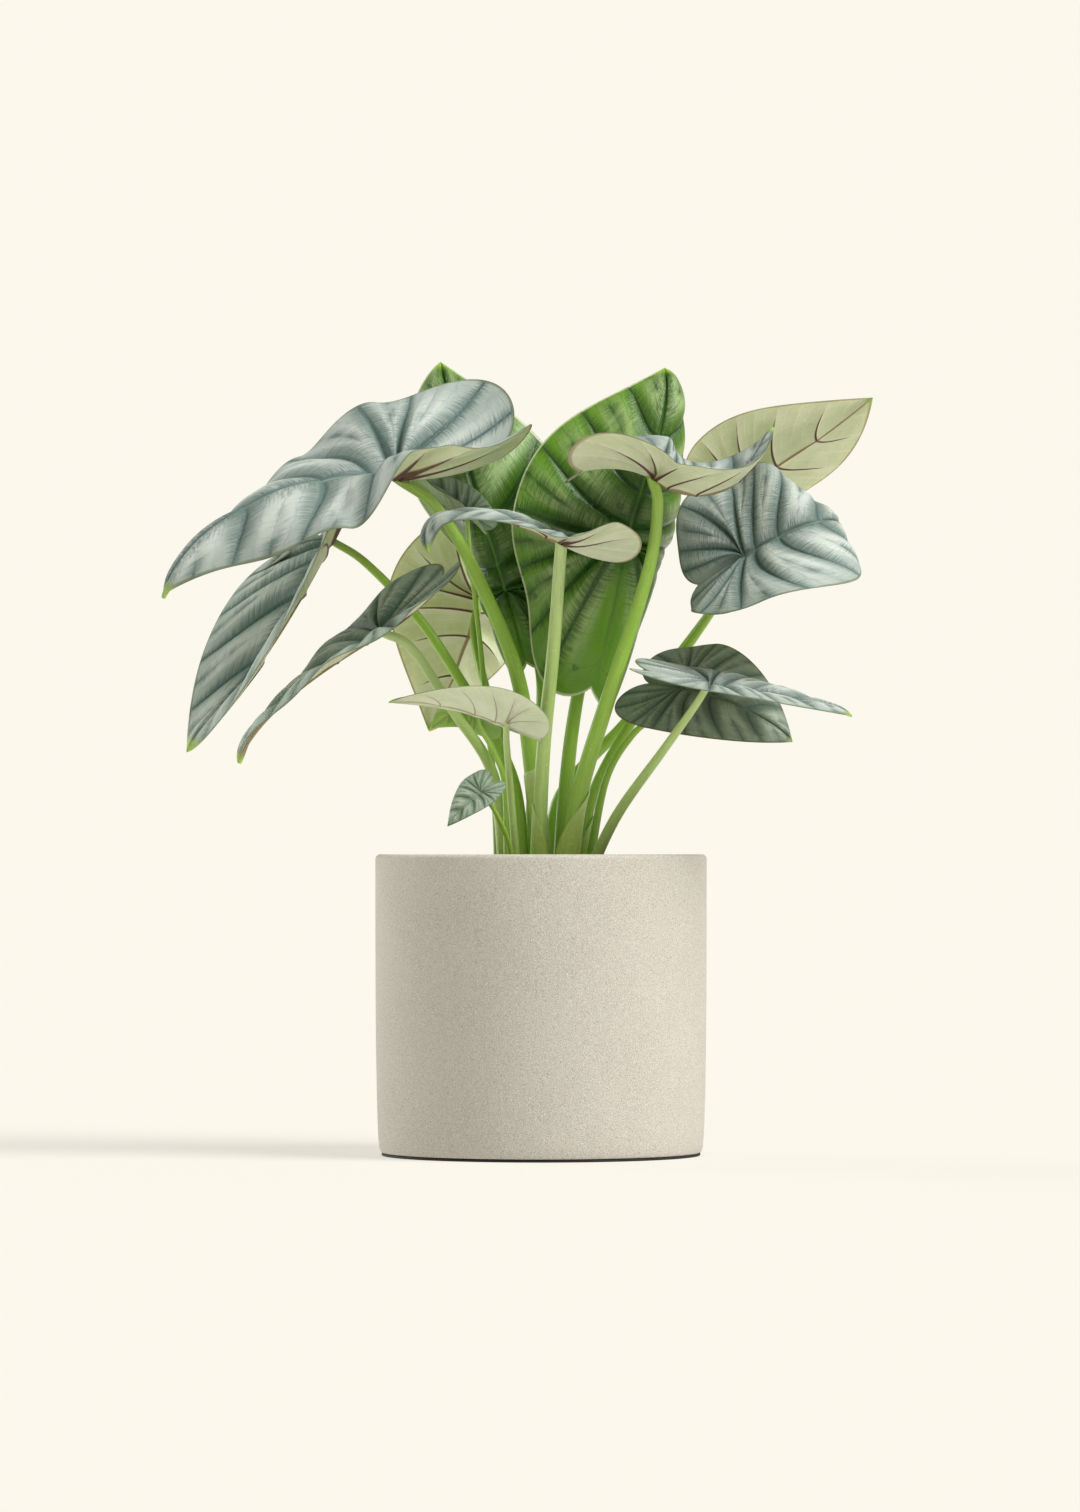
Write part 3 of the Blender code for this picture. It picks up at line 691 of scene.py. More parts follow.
def flat_point(vein, reach, shape):
    """A point of the flat blade, `vein` side veins on from the notch, `reach` of the way to the margin."""
    bearing = pi * (1 - vein / SIDE_VEINS) ** BEARING_POWER
    radius = margin_radius(bearing, shape)
    foot = np.clip((vein - REAR_VEINS) / (SIDE_VEINS - REAR_VEINS), 0, 1) ** FOOT_POWER
    u = foot + (radius * np.cos(bearing) - foot) * reach**SWEEP_POWER
    return u, radius * np.sin(bearing) * reach


def eased(along, values, turning):
    """values at the back lobes, just past the stalk and at the tip, joined smoothly."""
    back, middle, tip = values
    start, end = turning
    first = np.clip((along - start) / (end - start), 0, 1)
    second = np.clip((along - end) / (1 - end), 0, 1)
    first = first**2 * (3 - 2 * first)
    second = second**2 * (3 - 2 * second)
    return back + (middle - back) * first + (tip - middle) * second


def midrib(leaf, steps=60):
    """Positions along the midrib and behind it, with the points and the frames (along, left, up) there."""
    p0, p1, p2, p3 = (np.array(leaf[k], float) for k in ("stalk", "bow", "dip", "tip"))
    t = np.linspace(0, 1, steps)[:, None]
    ahead = (1 - t) ** 3 * p0 + 3 * (1 - t) ** 2 * t * p1 + 3 * (1 - t) * t**2 * p2 + t**3 * p3
    heading = 3 * ((1 - t) ** 2 * (p1 - p0) + 2 * (1 - t) * t * (p2 - p1) + t**2 * (p3 - p2))
    heading /= np.linalg.norm(heading, axis=1)[:, None]
    run = np.concatenate([[0], np.cumsum(np.linalg.norm(np.diff(ahead, axis=0), axis=1))])
    run /= run[-1]
    face = (1 - t) * np.array(leaf["face"], float) + t * np.array(leaf["tip_face"], float)
    up = face - (face * heading).sum(1)[:, None] * heading
    up /= np.linalg.norm(up, axis=1)[:, None]
    behind_run = np.linspace(REAR, REAR / steps, steps)
    share = behind_run[:, None] / HEEL
    if "heel" in leaf:
        handle = p0 - HEEL / 2 * leaf["size"] * heading[0]
        heel = np.array(leaf["heel"], float)
        behind = (1 - share) ** 2 * p0 + 2 * (1 - share) * share * handle + share**2 * heel
        behind_heading = (1 - share) * (p0 - handle) + share * (handle - heel)
        behind_heading /= np.linalg.norm(behind_heading, axis=1)[:, None]
        turned = np.clip(share, 0, 1)
        behind_face = (1 - turned) * up[0] + turned * np.array(leaf["heel_face"], float)
        behind_up = behind_face - (behind_face * behind_heading).sum(1)[:, None] * behind_heading
        behind_up /= np.linalg.norm(behind_up, axis=1)[:, None]
    else:
        turn = -radians(leaf["back"]) * share
        behind_heading = np.cos(turn) * heading[0] + np.sin(turn) * up[0]
        behind_up = -np.sin(turn) * heading[0] + np.cos(turn) * up[0]
        behind = p0 - leaf["size"] * REAR / steps * np.cumsum(behind_heading[::-1], axis=0)[::-1]
    along = np.concatenate([-behind_run, run])
    points = np.vstack([behind, ahead])
    headings = np.vstack([behind_heading, heading])
    ups = np.vstack([behind_up, up])
    return along, points, headings, np.cross(ups, headings), ups


def outline_shape(leaf):
    usual = dict(side=HALF_WIDTH, lobe=LOBE, lobe_at=LOBE_BEARING, notch=NOTCH, point=TIP_ANGLE)
    return {part: leaf.get(part, share) for part, share in usual.items()}


def bent_blade(leaf, u, v, side):
    """Points and upward normals of the blade, bent and folded but not quilted, at (u, v) of the flat one."""
    along, points, _, lefts, ups = midrib(leaf)
    centre, left, up = (
        np.stack([np.interp(u, along, grid[:, k]) for k in range(3)], -1) for grid in (points, lefts, ups)
    )
    half = "left" if side > 0 else "right"
    fold = np.radians(eased(u, leaf[half], leaf.get(half + "_turning", FOLD_TURNING)))
    across = np.zeros_like(v)
    raised = np.zeros_like(v)
    crease = leaf.get("crease", CREASE)
    for i in range(FOLD_STEPS):
        angle = fold * (1 - np.exp(-v * (i + 0.5) / FOLD_STEPS / crease))
        across += np.cos(angle) * v / FOLD_STEPS
        raised += np.sin(angle) * v / FOLD_STEPS
    angle = fold * (1 - np.exp(-v / crease))
    normal = -side * np.sin(angle)[..., None] * left + np.cos(angle)[..., None] * up
    return centre + leaf["size"] * (side * across[..., None] * left + raised[..., None] * up), normal


def swell(vein, reach):
    """How far up the field between two veins stands here, from 0 at its edges to 1 in its middle."""
    return np.abs(np.sin(pi * vein)) ** QUILT_SHARPNESS * np.sin(pi * reach**QUILT_FILL) ** QUILT_FILL


def blade_surface(leaf, vein, reach, side):
    """Points and upward normals of the blade's middle surface; side is 1 on the left, -1 on the right."""
    u, v = flat_point(vein, reach, outline_shape(leaf))
    surface, normal = bent_blade(leaf, u, v, side)
    quilt = QUILT * swell(vein, reach)
    turn = tau * (vein * WAVE_TURNS + (0.0 if side > 0 else WAVE_SHIFT))
    wave = leaf.get("wave", 0.0) * np.sin(turn) * reach**2
    return surface + leaf["size"] * (quilt + wave)[..., None] * normal, normal


# The upper and the lower finish of each leaf; "shaded" is the silver one painted darker, as painted shade.
FINISHES = {
    "upper_left": ("silver", "pale"),
    "hanging_left": ("jade", "pale"),
    "slanting_left": ("jade", "pale"),
    "middle": ("silver", "pale"),
    "upper_right": ("silver", "pale"),
    "far_right": ("silver", "pale"),
    "broad_right": ("silver", "pale"),
    "low_right": ("silver", "pale"),
    "shaded_right": ("shaded", "pale"),
    "back_left": ("silver", "pale"),
    "low_left": ("silver", "cream"),
    "low_green": ("green", "lime"),
    "baby": ("young", "cream"),
    "green_left": ("green", "lime"),
    "green_right": ("green", "lime"),
    "folded_young": ("young", "jade_under"),
}
# The steps of the blade's grid: from one side vein to the next, and from the midrib to the margin.
VEIN_STEPS = (
    0.0, 0.02, 0.045, 0.08, 0.125, 0.18, 0.245, 0.315, 0.38, 0.43, 0.465, 0.5, 0.535, 0.57, 0.62, 0.685,
    0.755, 0.82, 0.875, 0.92, 0.955, 0.98,
)
REACH_STEPS = (
    0, 0.012, 0.03, 0.055, 0.09, 0.13, 0.18, 0.24, 0.3, 0.37, 0.44, 0.51, 0.58, 0.65, 0.71, 0.77, 0.82,
    0.87, 0.91, 0.945, 0.97, 0.985, 0.995, 1,
)
SMALL_LEAF = 50  # leaves under this size have every other step of the grid
MIDDLE_THICKNESS = 0.76
MARGIN_THICKNESS = 0.22
GROOVE = 0.45  # how deep the upper side is pressed in along a vein
RIDGE = 0.42  # how far a vein stands out beneath
VEIN_RADIUS = 0.008  # half the width of a groove or ridge, in shares of the leaf's size
RIB_RADIUS = 0.016
PUFF = 0.02  # how much more than the plain blade the fields between the veins stand up
HALF_PUFF = 0.009  # and how much the two halves of a field do, out near the margin
HALF_START = 0.35  # where on the way to the margin the two halves begin
PUFF_CHANGE = 0.55  # how unlike each other the fields are
NUDGE = 0.02  # the step, in side veins, that the distance between veins is measured with
SEED_STEP = 3.7  # how far apart two leaves lie in the noise of their pattern
SIDE_VEIN_FADE = 0.6  # how a side vein's relief fades on the way to the margin
RIB_FADE = 0.5  # and the midrib's on the way to the tip
RIB_NARROWING = 0.7
RIB_RIDGE = 1.8  # how much further the midrib stands out beneath than a side vein
EDGE_POWER = 6  # the blade thins only near its margin
PUFF_STEPS = (5.1, 2.3, 1.7)  # how the puff changes from leaf to leaf, field to field and half to half


def vein_shares(vein, reach, shape):
    """(u, distance between veins, from the midrib, to the margin) of points, in shares of the size."""
    u, v = flat_point(vein, reach, shape)
    before, after = (flat_point(np.clip(vein + s * NUDGE, 0, SIDE_VEINS), reach, shape) for s in (-1, 1))
    pitch = np.hypot(after[0] - before[0], after[1] - before[1]) / (2 * NUDGE)
    end = flat_point(vein, np.ones_like(reach), shape)
    start = flat_point(vein, np.zeros_like(reach), shape)
    to_margin = (1 - reach) * np.hypot(end[0] - start[0], end[1] - start[1])
    from_rib = np.hypot(np.minimum(u, 0), v)
    return u, pitch, from_rib, to_margin


def add_attribute(mesh, name, kind, values):
    layer = mesh.attributes.new(name, kind, "POINT")
    field = "vector" if kind == "FLOAT_VECTOR" else "value"
    layer.data.foreach_set(field, np.asarray(values, float).ravel())


def blade(name, leaf, upper, under, seed):
    """The finished blade, its two faces split alike and joined round the thin margin."""
    every = 2 if leaf["size"] < SMALL_LEAF else 1
    steps = [k + share for k in range(SIDE_VEINS) for share in VEIN_STEPS[::every]] + [SIDE_VEINS]
    reaches = np.array(list(REACH_STEPS[:-1:every]) + [1.0])
    vein, reach = np.meshgrid(np.array(steps), reaches, indexing="ij")
    rows, columns = vein.shape
    shape = outline_shape(leaf)
    size = leaf["size"]
    u, pitch, from_rib, to_margin = vein_shares(vein, reach, shape)
    number = {}
    tops, bottoms, shares, places = [], [], [], []
    faces, margins, corner_uv = [], [], []
    for side in (1, -1):
        flat = flat_point(vein, reach, shape)
        keys = np.dstack([flat[0], side * flat[1]]).round(6) + 0.0
        middle, normal = blade_surface(leaf, vein, reach, side)
        gap = np.abs((vein + 0.5) % 1 - 0.5) * pitch
        lateral = np.exp(-((gap / VEIN_RADIUS) ** 2)) * (1 - reach) ** SIDE_VEIN_FADE
        lateral *= (vein > 0.5) & (vein < SIDE_VEINS - 0.5)
        along = np.clip(u, 0, 1)
        rib_radius = RIB_RADIUS * (1 - RIB_NARROWING * along)
        rib = np.exp(-((from_rib / rib_radius) ** 2)) * (1 - along) ** RIB_FADE
        pressed = np.maximum(lateral, rib)
        fields = np.minimum(np.floor(vein), SIDE_VEINS - 1)
        between = swell(vein, reach)
        steps_on = (seed, fields, side)
        between *= 1 + PUFF_CHANGE * np.sin(sum(n * step for n, step in zip(steps_on, PUFF_STEPS)))
        out = np.clip((reach - HALF_START) / (1 - HALF_START), 0, 1)
        between += HALF_PUFF / PUFF * np.abs(np.sin(tau * vein)) ** QUILT_SHARPNESS * np.sin(pi * out)
        fullness = np.sqrt(1 - reach**EDGE_POWER)
        half = 0.5 * (MARGIN_THICKNESS + (MIDDLE_THICKNESS - MARGIN_THICKNESS) * fullness)
        middle = middle + (PUFF * size * between)[..., None] * normal
        top = middle + (half - GROOVE * pressed)[..., None] * normal
        ridge = RIDGE * (lateral * (1 - reach) + RIB_RIDGE * rib)
        bottom = middle - (half + ridge)[..., None] * normal
        index = np.empty((rows, columns), int)
        for i in range(rows):
            for j in range(columns):
                key = tuple(keys[i, j])
                if key not in number:
                    number[key] = len(tops)
                    tops.append(top[i, j])
                    bottoms.append(bottom[i, j])
                    shares.append((pitch[i, j], from_rib[i, j], to_margin[i, j]))
                    places.append((u[i, j], seed, 0.0))
                index[i, j] = number[key]
        for i in range(rows - 1):
            for j in range(columns - 1):
                cells = [(i, j), (i + 1, j), (i + 1, j + 1), (i, j + 1)]
                corners = [(int(index[c]), c) for c in cells]
                kept = [c for k, c in enumerate(corners) if c[0] != corners[k - 1][0]]
                if len(kept) > 2:
                    kept = kept if side < 0 else kept[::-1]
                    faces.append([c[0] for c in kept])
                    corner_uv.append([(vein[c[1]] / SIDE_VEINS, reach[c[1]]) for c in kept])
            low, high = int(index[i, columns - 1]), int(index[i + 1, columns - 1])
            if low != high:
                margins.append((low, high) if side < 0 else (high, low))
    count = len(tops)
    mesh = bpy.data.meshes.new(name)
    under_faces = [[corner + count for corner in reversed(face)] for face in faces]
    edge_faces = [(low, low + count, high + count, high) for low, high in margins]
    mesh.from_pydata(np.array(tops + bottoms) * MM, [], faces + under_faces + edge_faces)
    layer = mesh.uv_layers.new(name="blade")
    uvs = [uv for face in corner_uv for uv in face]
    uvs += [uv for face in corner_uv for uv in reversed(face)]
    uvs += [(0.5, 1.0)] * (4 * len(edge_faces))
    layer.data.foreach_set("uv", np.array(uvs, float).ravel())
    add_attribute(mesh, "blade_shares", "FLOAT_VECTOR", shares * 2)
    add_attribute(mesh, "blade_place", "FLOAT_VECTOR", places * 2)
    mesh.materials.append(upper)
    mesh.materials.append(under)
    skins = [0] * len(faces) + [1] * len(under_faces) + [0] * len(edge_faces)
    mesh.polygons.foreach_set("material_index", skins)
    mesh.polygons.foreach_set("use_smooth", [True] * len(mesh.polygons))
    return shown(name, mesh)


# The noises of a blade's pattern: how often each changes from one side vein to the next and on the way
# to the margin. Then how much the bands fray, how wide their core and halo are, and the net's cells.
HAIRS = (1.6, 75.0)
FINE_HAIRS = (5.0, 150.0)
RIB_HAIRS = (38.0, 5.0)
DRIFT = (1.7, 4.0)
CLOUD = (1.1, 2.2)
NET_NOISE = (5.0, 9.0)
SIDE_FRAY = 2.6
RIB_FRAY = 2.2
HALF_FRAY = 2.0
CORE_WIDTH = 0.5
HALO_WIDTH = 1.9
REAR_WIDTH = 0.8
NET_CELLS = (4.0, 11.0)
NET_LINE = 0.02
NET_WANDER = 0.9
MARGIN_LINE = (0.012, 0.004)
TIP_START = (0.93, 0.99)
NET_SHOWN = 0.3
RIB_SHOWN = 0.45
MARGIN_SHOWN = 0.8
UNDER_NET_SHOWN = 0.35
UNDER_BANDS_SHOWN = 0.25
UNDER_RIB_SHOWN = 0.85
UNDER_MARGIN_SHOWN = 0.7
RIB_SHARE = 1.35  # how much wider the band along the midrib is than those along the side veins
TOP_RELIEF = 0.35
UNDER_RELIEF = 0.3


def from_half(value):
    """How far the value is from half way between two whole numbers."""
    return (value.sent("FRACT") - 0.5).sent("ABSOLUTE")


def vein_group():
    """Masks of a blade's bands, vein lines, fine net, margin and tip, read from its own map and shares."""
    masks = ("Bands", "Lines", "Ribs", "Net", "Margin", "Tip", "Cloud", "Streaks", "Field", "Hairs")
    tree, given, result = new_group(
        "blade_veins",
        "ShaderNodeTree",
        {"Band": 0.03, "Rib": 0.045, "Feather": 0.8, "Line": 0.006},
        dict.fromkeys(masks, "Float"),
    )
    x, reach, _ = parts_of(wire(tree, "ShaderNodeUVMap", uv_map="blade"))
    vein = x * SIDE_VEINS
    read = {
        label: parts_of(wire(tree, "ShaderNodeAttribute", None, "Vector", attribute_name=label))
        for label in ("blade_shares", "blade_place")
    }
    pitch, from_rib, to_margin = read["blade_shares"]
    along, seed, _ = read["blade_place"]

    def streaks(across, out, detail=2.0):
        """Noise that is fine or coarse along the vein count and along the way to the margin."""
        return clouds(vector_of(tree, vein * across, reach * out, seed), 1.0, detail)

    def banded(distance, width, frays, strength):
        """A dark core inside a wide halo, both frayed by the noise."""
        frayed = width * ((frays - 0.5) * strength * given["Feather"] + 1.0)
        core = ramp(distance / (frayed * CORE_WIDTH), 1.4, 0.3)
        halo = ramp(distance / (frayed * HALO_WIDTH), 1.05, 0.1) * ramp(frays, 0.3, 0.7, 0.45, 0.95)
        return core.sent("MAXIMUM", halo)

    def net_lines(value, width):
        return ramp(from_half(value), width, NET_LINE)

    hairs = streaks(*HAIRS)
    drift = streaks(*DRIFT)
    cloud = streaks(*CLOUD, detail=3.0)
    step = from_half(vein + 0.5)
    gap = step * pitch
    laterals = ramp(vein, 0.45, 0.6) * ramp(vein, 6.6, 6.45)
    taper = ramp(reach + drift * 0.3, 0.25, 1.2, 1.0, 0.3)
    band = banded(gap, given["Band"] * taper, hairs, SIDE_FRAY)
    rib_taper = ramp(along, 0.0, 1.0, 1.0, 0.2)
    rib_band = banded(from_rib, given["Rib"] * rib_taper, streaks(*RIB_HAIRS), RIB_FRAY)
    half_gap = from_half(vein) * pitch
    half_width = given["Band"] * ramp(reach, 0.4, 0.75, 0.05, 0.45)
    half_band = banded(half_gap, half_width, hairs, HALF_FRAY)
    rear_band = banded(half_gap, given["Band"] * taper * REAR_WIDTH, hairs, HALF_FRAY)
    rear = ramp(vein, 1.0, 0.85)
    half_shown = ramp(reach, 0.35, 0.65) * ramp(drift, 0.35, 0.55, 0.25, 0.9)
    half_shown = half_shown.sent("MAXIMUM", rear)
    half_band = half_band.sent("MAXIMUM", rear * rear_band)
    bands = (band * laterals).sent("MAXIMUM", rib_band).sent("MAXIMUM", half_band * half_shown)
    line_width = given["Line"] * ramp(reach, 0.0, 1.0, 1.0, 0.35)
    line = ramp(gap / line_width, 1.3, 0.6) * laterals * ramp(reach + drift * 0.5, 1.2, 0.9)
    wander = streaks(*NET_NOISE) * NET_WANDER
    side_net = net_lines(vein * NET_CELLS[0] + wander, 0.13)
    cross_net = net_lines(reach * NET_CELLS[1] + drift * 3.0 + wander, 0.10)
    net = side_net.sent("MAXIMUM", cross_net * 0.7)
    inner = ramp(step, 0.14, 0.34) * ramp(reach, 1.05, 0.7)
    found = {
        "Bands": bands,
        "Lines": line,
        "Ribs": ramp(from_rib / (given["Line"] * 1.5 * rib_taper), 1.3, 0.6),
        "Net": net * ramp(reach, 0.08, 0.35) * ramp(cloud, 0.3, 0.65, 0.3, 1.0),
        "Margin": ramp(to_margin, *MARGIN_LINE),
        "Tip": ramp(along, *TIP_START),
        "Cloud": cloud,
        "Streaks": hairs,
        "Field": inner * ramp(cloud, 0.25, 0.5, 0.35, 1.0),
        "Hairs": streaks(*FINE_HAIRS),
    }
    for label, value in found.items():
        tree.links.new(value.socket, result.inputs[label])
    return tree


def vein_masks(tree, **widths):
    """The masks of the vein group, for bands and lines of these widths, in shares of the leaf's size."""
    veins = add_node(tree, "ShaderNodeGroup", node_tree=veins_tree)
    for label, value in widths.items():
        veins.inputs[label].default_value = value
    return {socket.name: Wire(socket) for socket in veins.outputs}


def blade_top(name, fields, band, net, margin, tip, rib, strength, roughness, coat=0.0, width=0.062):
    """The upper side of a blade; fields and band are its darker and lighter colours there."""
    made, tree, shader = new_material(name, roughness, 0.3, coat, coat_roughness=0.22, soft=0.15)
    masks = vein_masks(tree, Band=width, Rib=width * RIB_SHARE, Feather=0.85, Line=0.0045)
    feathered = painted(tree, band[0], (ramp(masks["Streaks"], 0.3, 0.7), band[1]))
    colour = painted(
        tree,
        fields[0],
        (masks["Field"], fields[1]),
        (ramp(masks["Cloud"], 0.4, 0.7) * 0.35, fields[1]),
        (masks["Net"] * NET_SHOWN, net),
        (ramp(masks["Hairs"], 0.48, 0.66, 0.0, 0.28), net),
        (masks["Bands"] * strength, feathered),
        (masks["Ribs"] * RIB_SHOWN, rib),
        (masks["Margin"] * MARGIN_SHOWN, margin),
        (masks["Tip"], tip),
    )
    relief = masks["Hairs"] * -0.35 - masks["Bands"] - masks["Net"] * 0.35
    dress(shader, relief, TOP_RELIEF, colour)
    return made


def blade_under(name, skin, line, rib, margin, tip, strength, roughness=0.55, width=0.0065):
    """The lower side of a blade; skin is its darker and lighter colour and that of its net of veins."""
    made, tree, shader = new_material(name, roughness, specular=0.3, soft=0.35)
    masks = vein_masks(tree, Band=0.02, Rib=0.03, Feather=0.3, Line=width)
    colour = painted(
        tree,
        skin[0],
        (ramp(masks["Cloud"], 0.3, 0.7), skin[1]),
        (masks["Net"] * UNDER_NET_SHOWN, skin[2]),
        (masks["Bands"] * UNDER_BANDS_SHOWN, skin[2]),
        (masks["Lines"] * strength, line),
        (masks["Ribs"] * UNDER_RIB_SHOWN, rib),
        (masks["Margin"] * UNDER_MARGIN_SHOWN, margin),
        (masks["Tip"], tip),
    )
    dress(shader, masks["Net"] * 0.4 + masks["Lines"], UNDER_RELIEF, colour)
    return made


veins_tree = vein_group()
UPPER_SKINS = {
    "silver": blade_top(
        "silver_blade",
        fields=((0.35, 0.415, 0.385), (0.56, 0.615, 0.575)), band=((0.05, 0.10, 0.095), (0.11, 0.175, 0.16)),
        net=(0.22, 0.31, 0.28), margin=(0.16, 0.2, 0.12), tip=(0.42, 0.62, 0.14), rib=(0.30, 0.40, 0.32),
        strength=0.92, roughness=0.52,
    ),
    "jade": blade_top(
        "jade_silver_blade",
        fields=((0.32, 0.40, 0.35), (0.53, 0.60, 0.535)), band=((0.04, 0.10, 0.08), (0.09, 0.17, 0.135)),
        net=(0.16, 0.26, 0.18), margin=(0.14, 0.18, 0.08), tip=(0.40, 0.60, 0.12), rib=(0.25, 0.36, 0.26),
        strength=0.92, roughness=0.52,
    ),
    # painted shade: a darker, greener copy of the silver finish, for the leaf that lies in the shadow of the
    # leaf in front of it
    "shaded": blade_top(
        "painted_shade_silver_blade",
        fields=((0.20, 0.27, 0.20), (0.36, 0.43, 0.35)), band=((0.045, 0.085, 0.065), (0.08, 0.13, 0.1)),
        net=(0.12, 0.17, 0.12), margin=(0.14, 0.1, 0.06), tip=(0.40, 0.56, 0.2), rib=(0.2, 0.28, 0.2),
        strength=0.8, roughness=0.45,
    ),
    "young": blade_top(
        "young_blade",
        fields=((0.30, 0.40, 0.30), (0.46, 0.56, 0.45)), band=((0.07, 0.15, 0.08), (0.13, 0.23, 0.14)),
        net=(0.18, 0.28, 0.18), margin=(0.2, 0.26, 0.12), tip=(0.40, 0.60, 0.12), rib=(0.25, 0.36, 0.24),
        strength=0.55, roughness=0.45, width=0.05,
    ),
    "green": blade_top(
        "green_blade",
        fields=((0.12, 0.28, 0.010), (0.33, 0.46, 0.17)), band=((0.010, 0.05, 0.005), (0.03, 0.105, 0.010)),
        net=(0.06, 0.22, 0.03), margin=(0.62, 0.66, 0.45), tip=(0.38, 0.6, 0.08), rib=(0.16, 0.34, 0.06),
        strength=0.92, roughness=0.34, coat=0.12, width=0.085,
    ),
}
UNDER_SKINS = {
    "pale": blade_under(
        "pale_underside",
        skin=((0.60, 0.65, 0.43), (0.73, 0.76, 0.57), (0.84, 0.86, 0.72)), line=(0.11, 0.02, 0.035),
        rib=(0.28, 0.17, 0.09), margin=(0.3, 0.2, 0.13), tip=(0.42, 0.6, 0.16), strength=0.95, width=0.0085,
    ),
    "cream": blade_under(
        "cream_underside",
        skin=((0.68, 0.76, 0.53), (0.79, 0.84, 0.65), (0.88, 0.9, 0.77)), line=(0.3, 0.14, 0.12),
        rib=(0.42, 0.4, 0.2), margin=(0.38, 0.42, 0.2), tip=(0.4, 0.58, 0.14), strength=0.6,
    ),
    "lime": blade_under(
        "lime_underside",
        skin=((0.30, 0.50, 0.10), (0.42, 0.6, 0.18), (0.55, 0.7, 0.32)), line=(0.2, 0.12, 0.08),
        rib=(0.3, 0.36, 0.12), margin=(0.55, 0.52, 0.42), tip=(0.38, 0.6, 0.08), strength=0.5,
    ),
    "jade_under": blade_under(
        "young_underside",
        skin=((0.22, 0.31, 0.17), (0.33, 0.42, 0.26), (0.42, 0.5, 0.34)), line=(0.1, 0.06, 0.05),
        rib=(0.16, 0.14, 0.08), margin=(0.12, 0.1, 0.06), tip=(0.3, 0.45, 0.12), strength=0.6,
    ),
}
leaf_pieces = {}
for number, (name, leaf) in enumerate(LEAVES.items()):
    upper, under = FINISHES[name]
    piece = blade("leaf_" + name, leaf, UPPER_SKINS[upper], UNDER_SKINS[under], number * SEED_STEP)
    belongs(piece, "green_leaf" if upper == "green" else "silver_leaf", "blade_" + name)
    leaf_pieces[name] = piece


# The water drops: a few clear beads left on the big green leaf after it was misted. They cling to its
# upper side and are flatter than half a ball.

# Each drop: its bearing from the midrib in degrees, its distance from the stalk in shares of the leaf's
# size, the half it lies on (1 left, -1 right), and its radius in millimetres.
DROPS = (
    (52, 0.26, 1, 1.7), (24, 0.20, 1, 1.9), (14, 0.083, -1, 1.2), (132, 0.56, 1, 1.2), (111, 0.50, 1, 1.6),
    (171, 0.70, 1, 1.5), (165, 0.62, 1, 0.9), (118, 0.58, 1, 0.8), (96, 0.42, 1, 0.7), (30, 0.34, 1, 0.7),
    (62, 0.40, 1, 0.8), (150, 0.55, 1, 0.8),
)
DROP_HEIGHT = 0.62  # of a drop, in shares of its radius
DROP_LEAF = "green_right"
DROP_REACH = 12.0  # how far over the plain blade the search for its quilted surface starts


def drop_points():
    """A mesh of points on the leaf, each with its drop's radius and the way it stands out."""
    leaf, piece = LEAVES[DROP_LEAF], leaf_pieces[DROP_LEAF]
    places, sizes, ups = [], [], []
    for bearing, distance, side, radius in DROPS:
        angle = radians(bearing)
        u, v = np.array([distance * cos(angle)]), np.array([distance * sin(angle)])
        point, normal = bent_blade(leaf, u, v, side)
        out = Vector(normal[0])
        above = (Vector(point[0]) + DROP_REACH * out) * MM
        found, place, facing, _ = piece.ray_cast(above, -out)
        if found:
            places.append(place)
            sizes.append(radius * MM)
            ups.append(facing)
    mesh = bpy.data.meshes.new("drop_points")
    mesh.from_pydata(places, [], [])
    add_attribute(mesh, "drop_size", "FLOAT", sizes)
    add_attribute(mesh, "drop_up", "FLOAT_VECTOR", ups)
    return mesh


def beads_tree():
    """Puts a flattened bead on every point."""
    tree, given, result = new_group(
        "beads",
        "GeometryNodeTree",
        {"Points": "Geometry", "Height": DROP_HEIGHT, "Skin": "Material"},
        {"Beads": "Geometry"},
    )
    size, up = (
        wire(tree, "GeometryNodeInputNamedAttribute", {"Name": label}, "Attribute", data_type=kind)
        for label, kind in (("drop_size", "FLOAT"), ("drop_up", "FLOAT_VECTOR"))
    )
    points = wire(tree, "GeometryNodeMeshToPoints", {"Mesh": given["Points"]})
    bead = wire(tree, "GeometryNodeMeshIcoSphere", {"Radius": 1.0, "Subdivisions": 3}, "Mesh")
    scale = scaled(vector_of(tree, 1.0, 1.0, given["Height"]), size)
    turn = wire(tree, "FunctionNodeAlignRotationToVector", {"Vector": up}, axis="Z")
    end_shape(smoothed(set_on(points, bead, turn, scale)), given["Skin"], result)
    return tree


def clear_water():
    made, tree, shader = new_material("clear_water", roughness=0.03, specular=0.5)
    shader.inputs["Transmission Weight"].default_value = 1.0
    shader.inputs["IOR"].default_value = 1.33
    dress(shader, clouds(place_on(tree), 500.0), 0.05)
    return made


water = grown("water_drops", drop_points(), beads_tree(), Height=DROP_HEIGHT, Skin=clear_water())
belongs(water, "green_leaf")


# The stalks: smooth round petioles, thicker at the foot, that bend into the back of the blade. They are
# yellow-green, four of them paler than the rest, with fine lines along them.

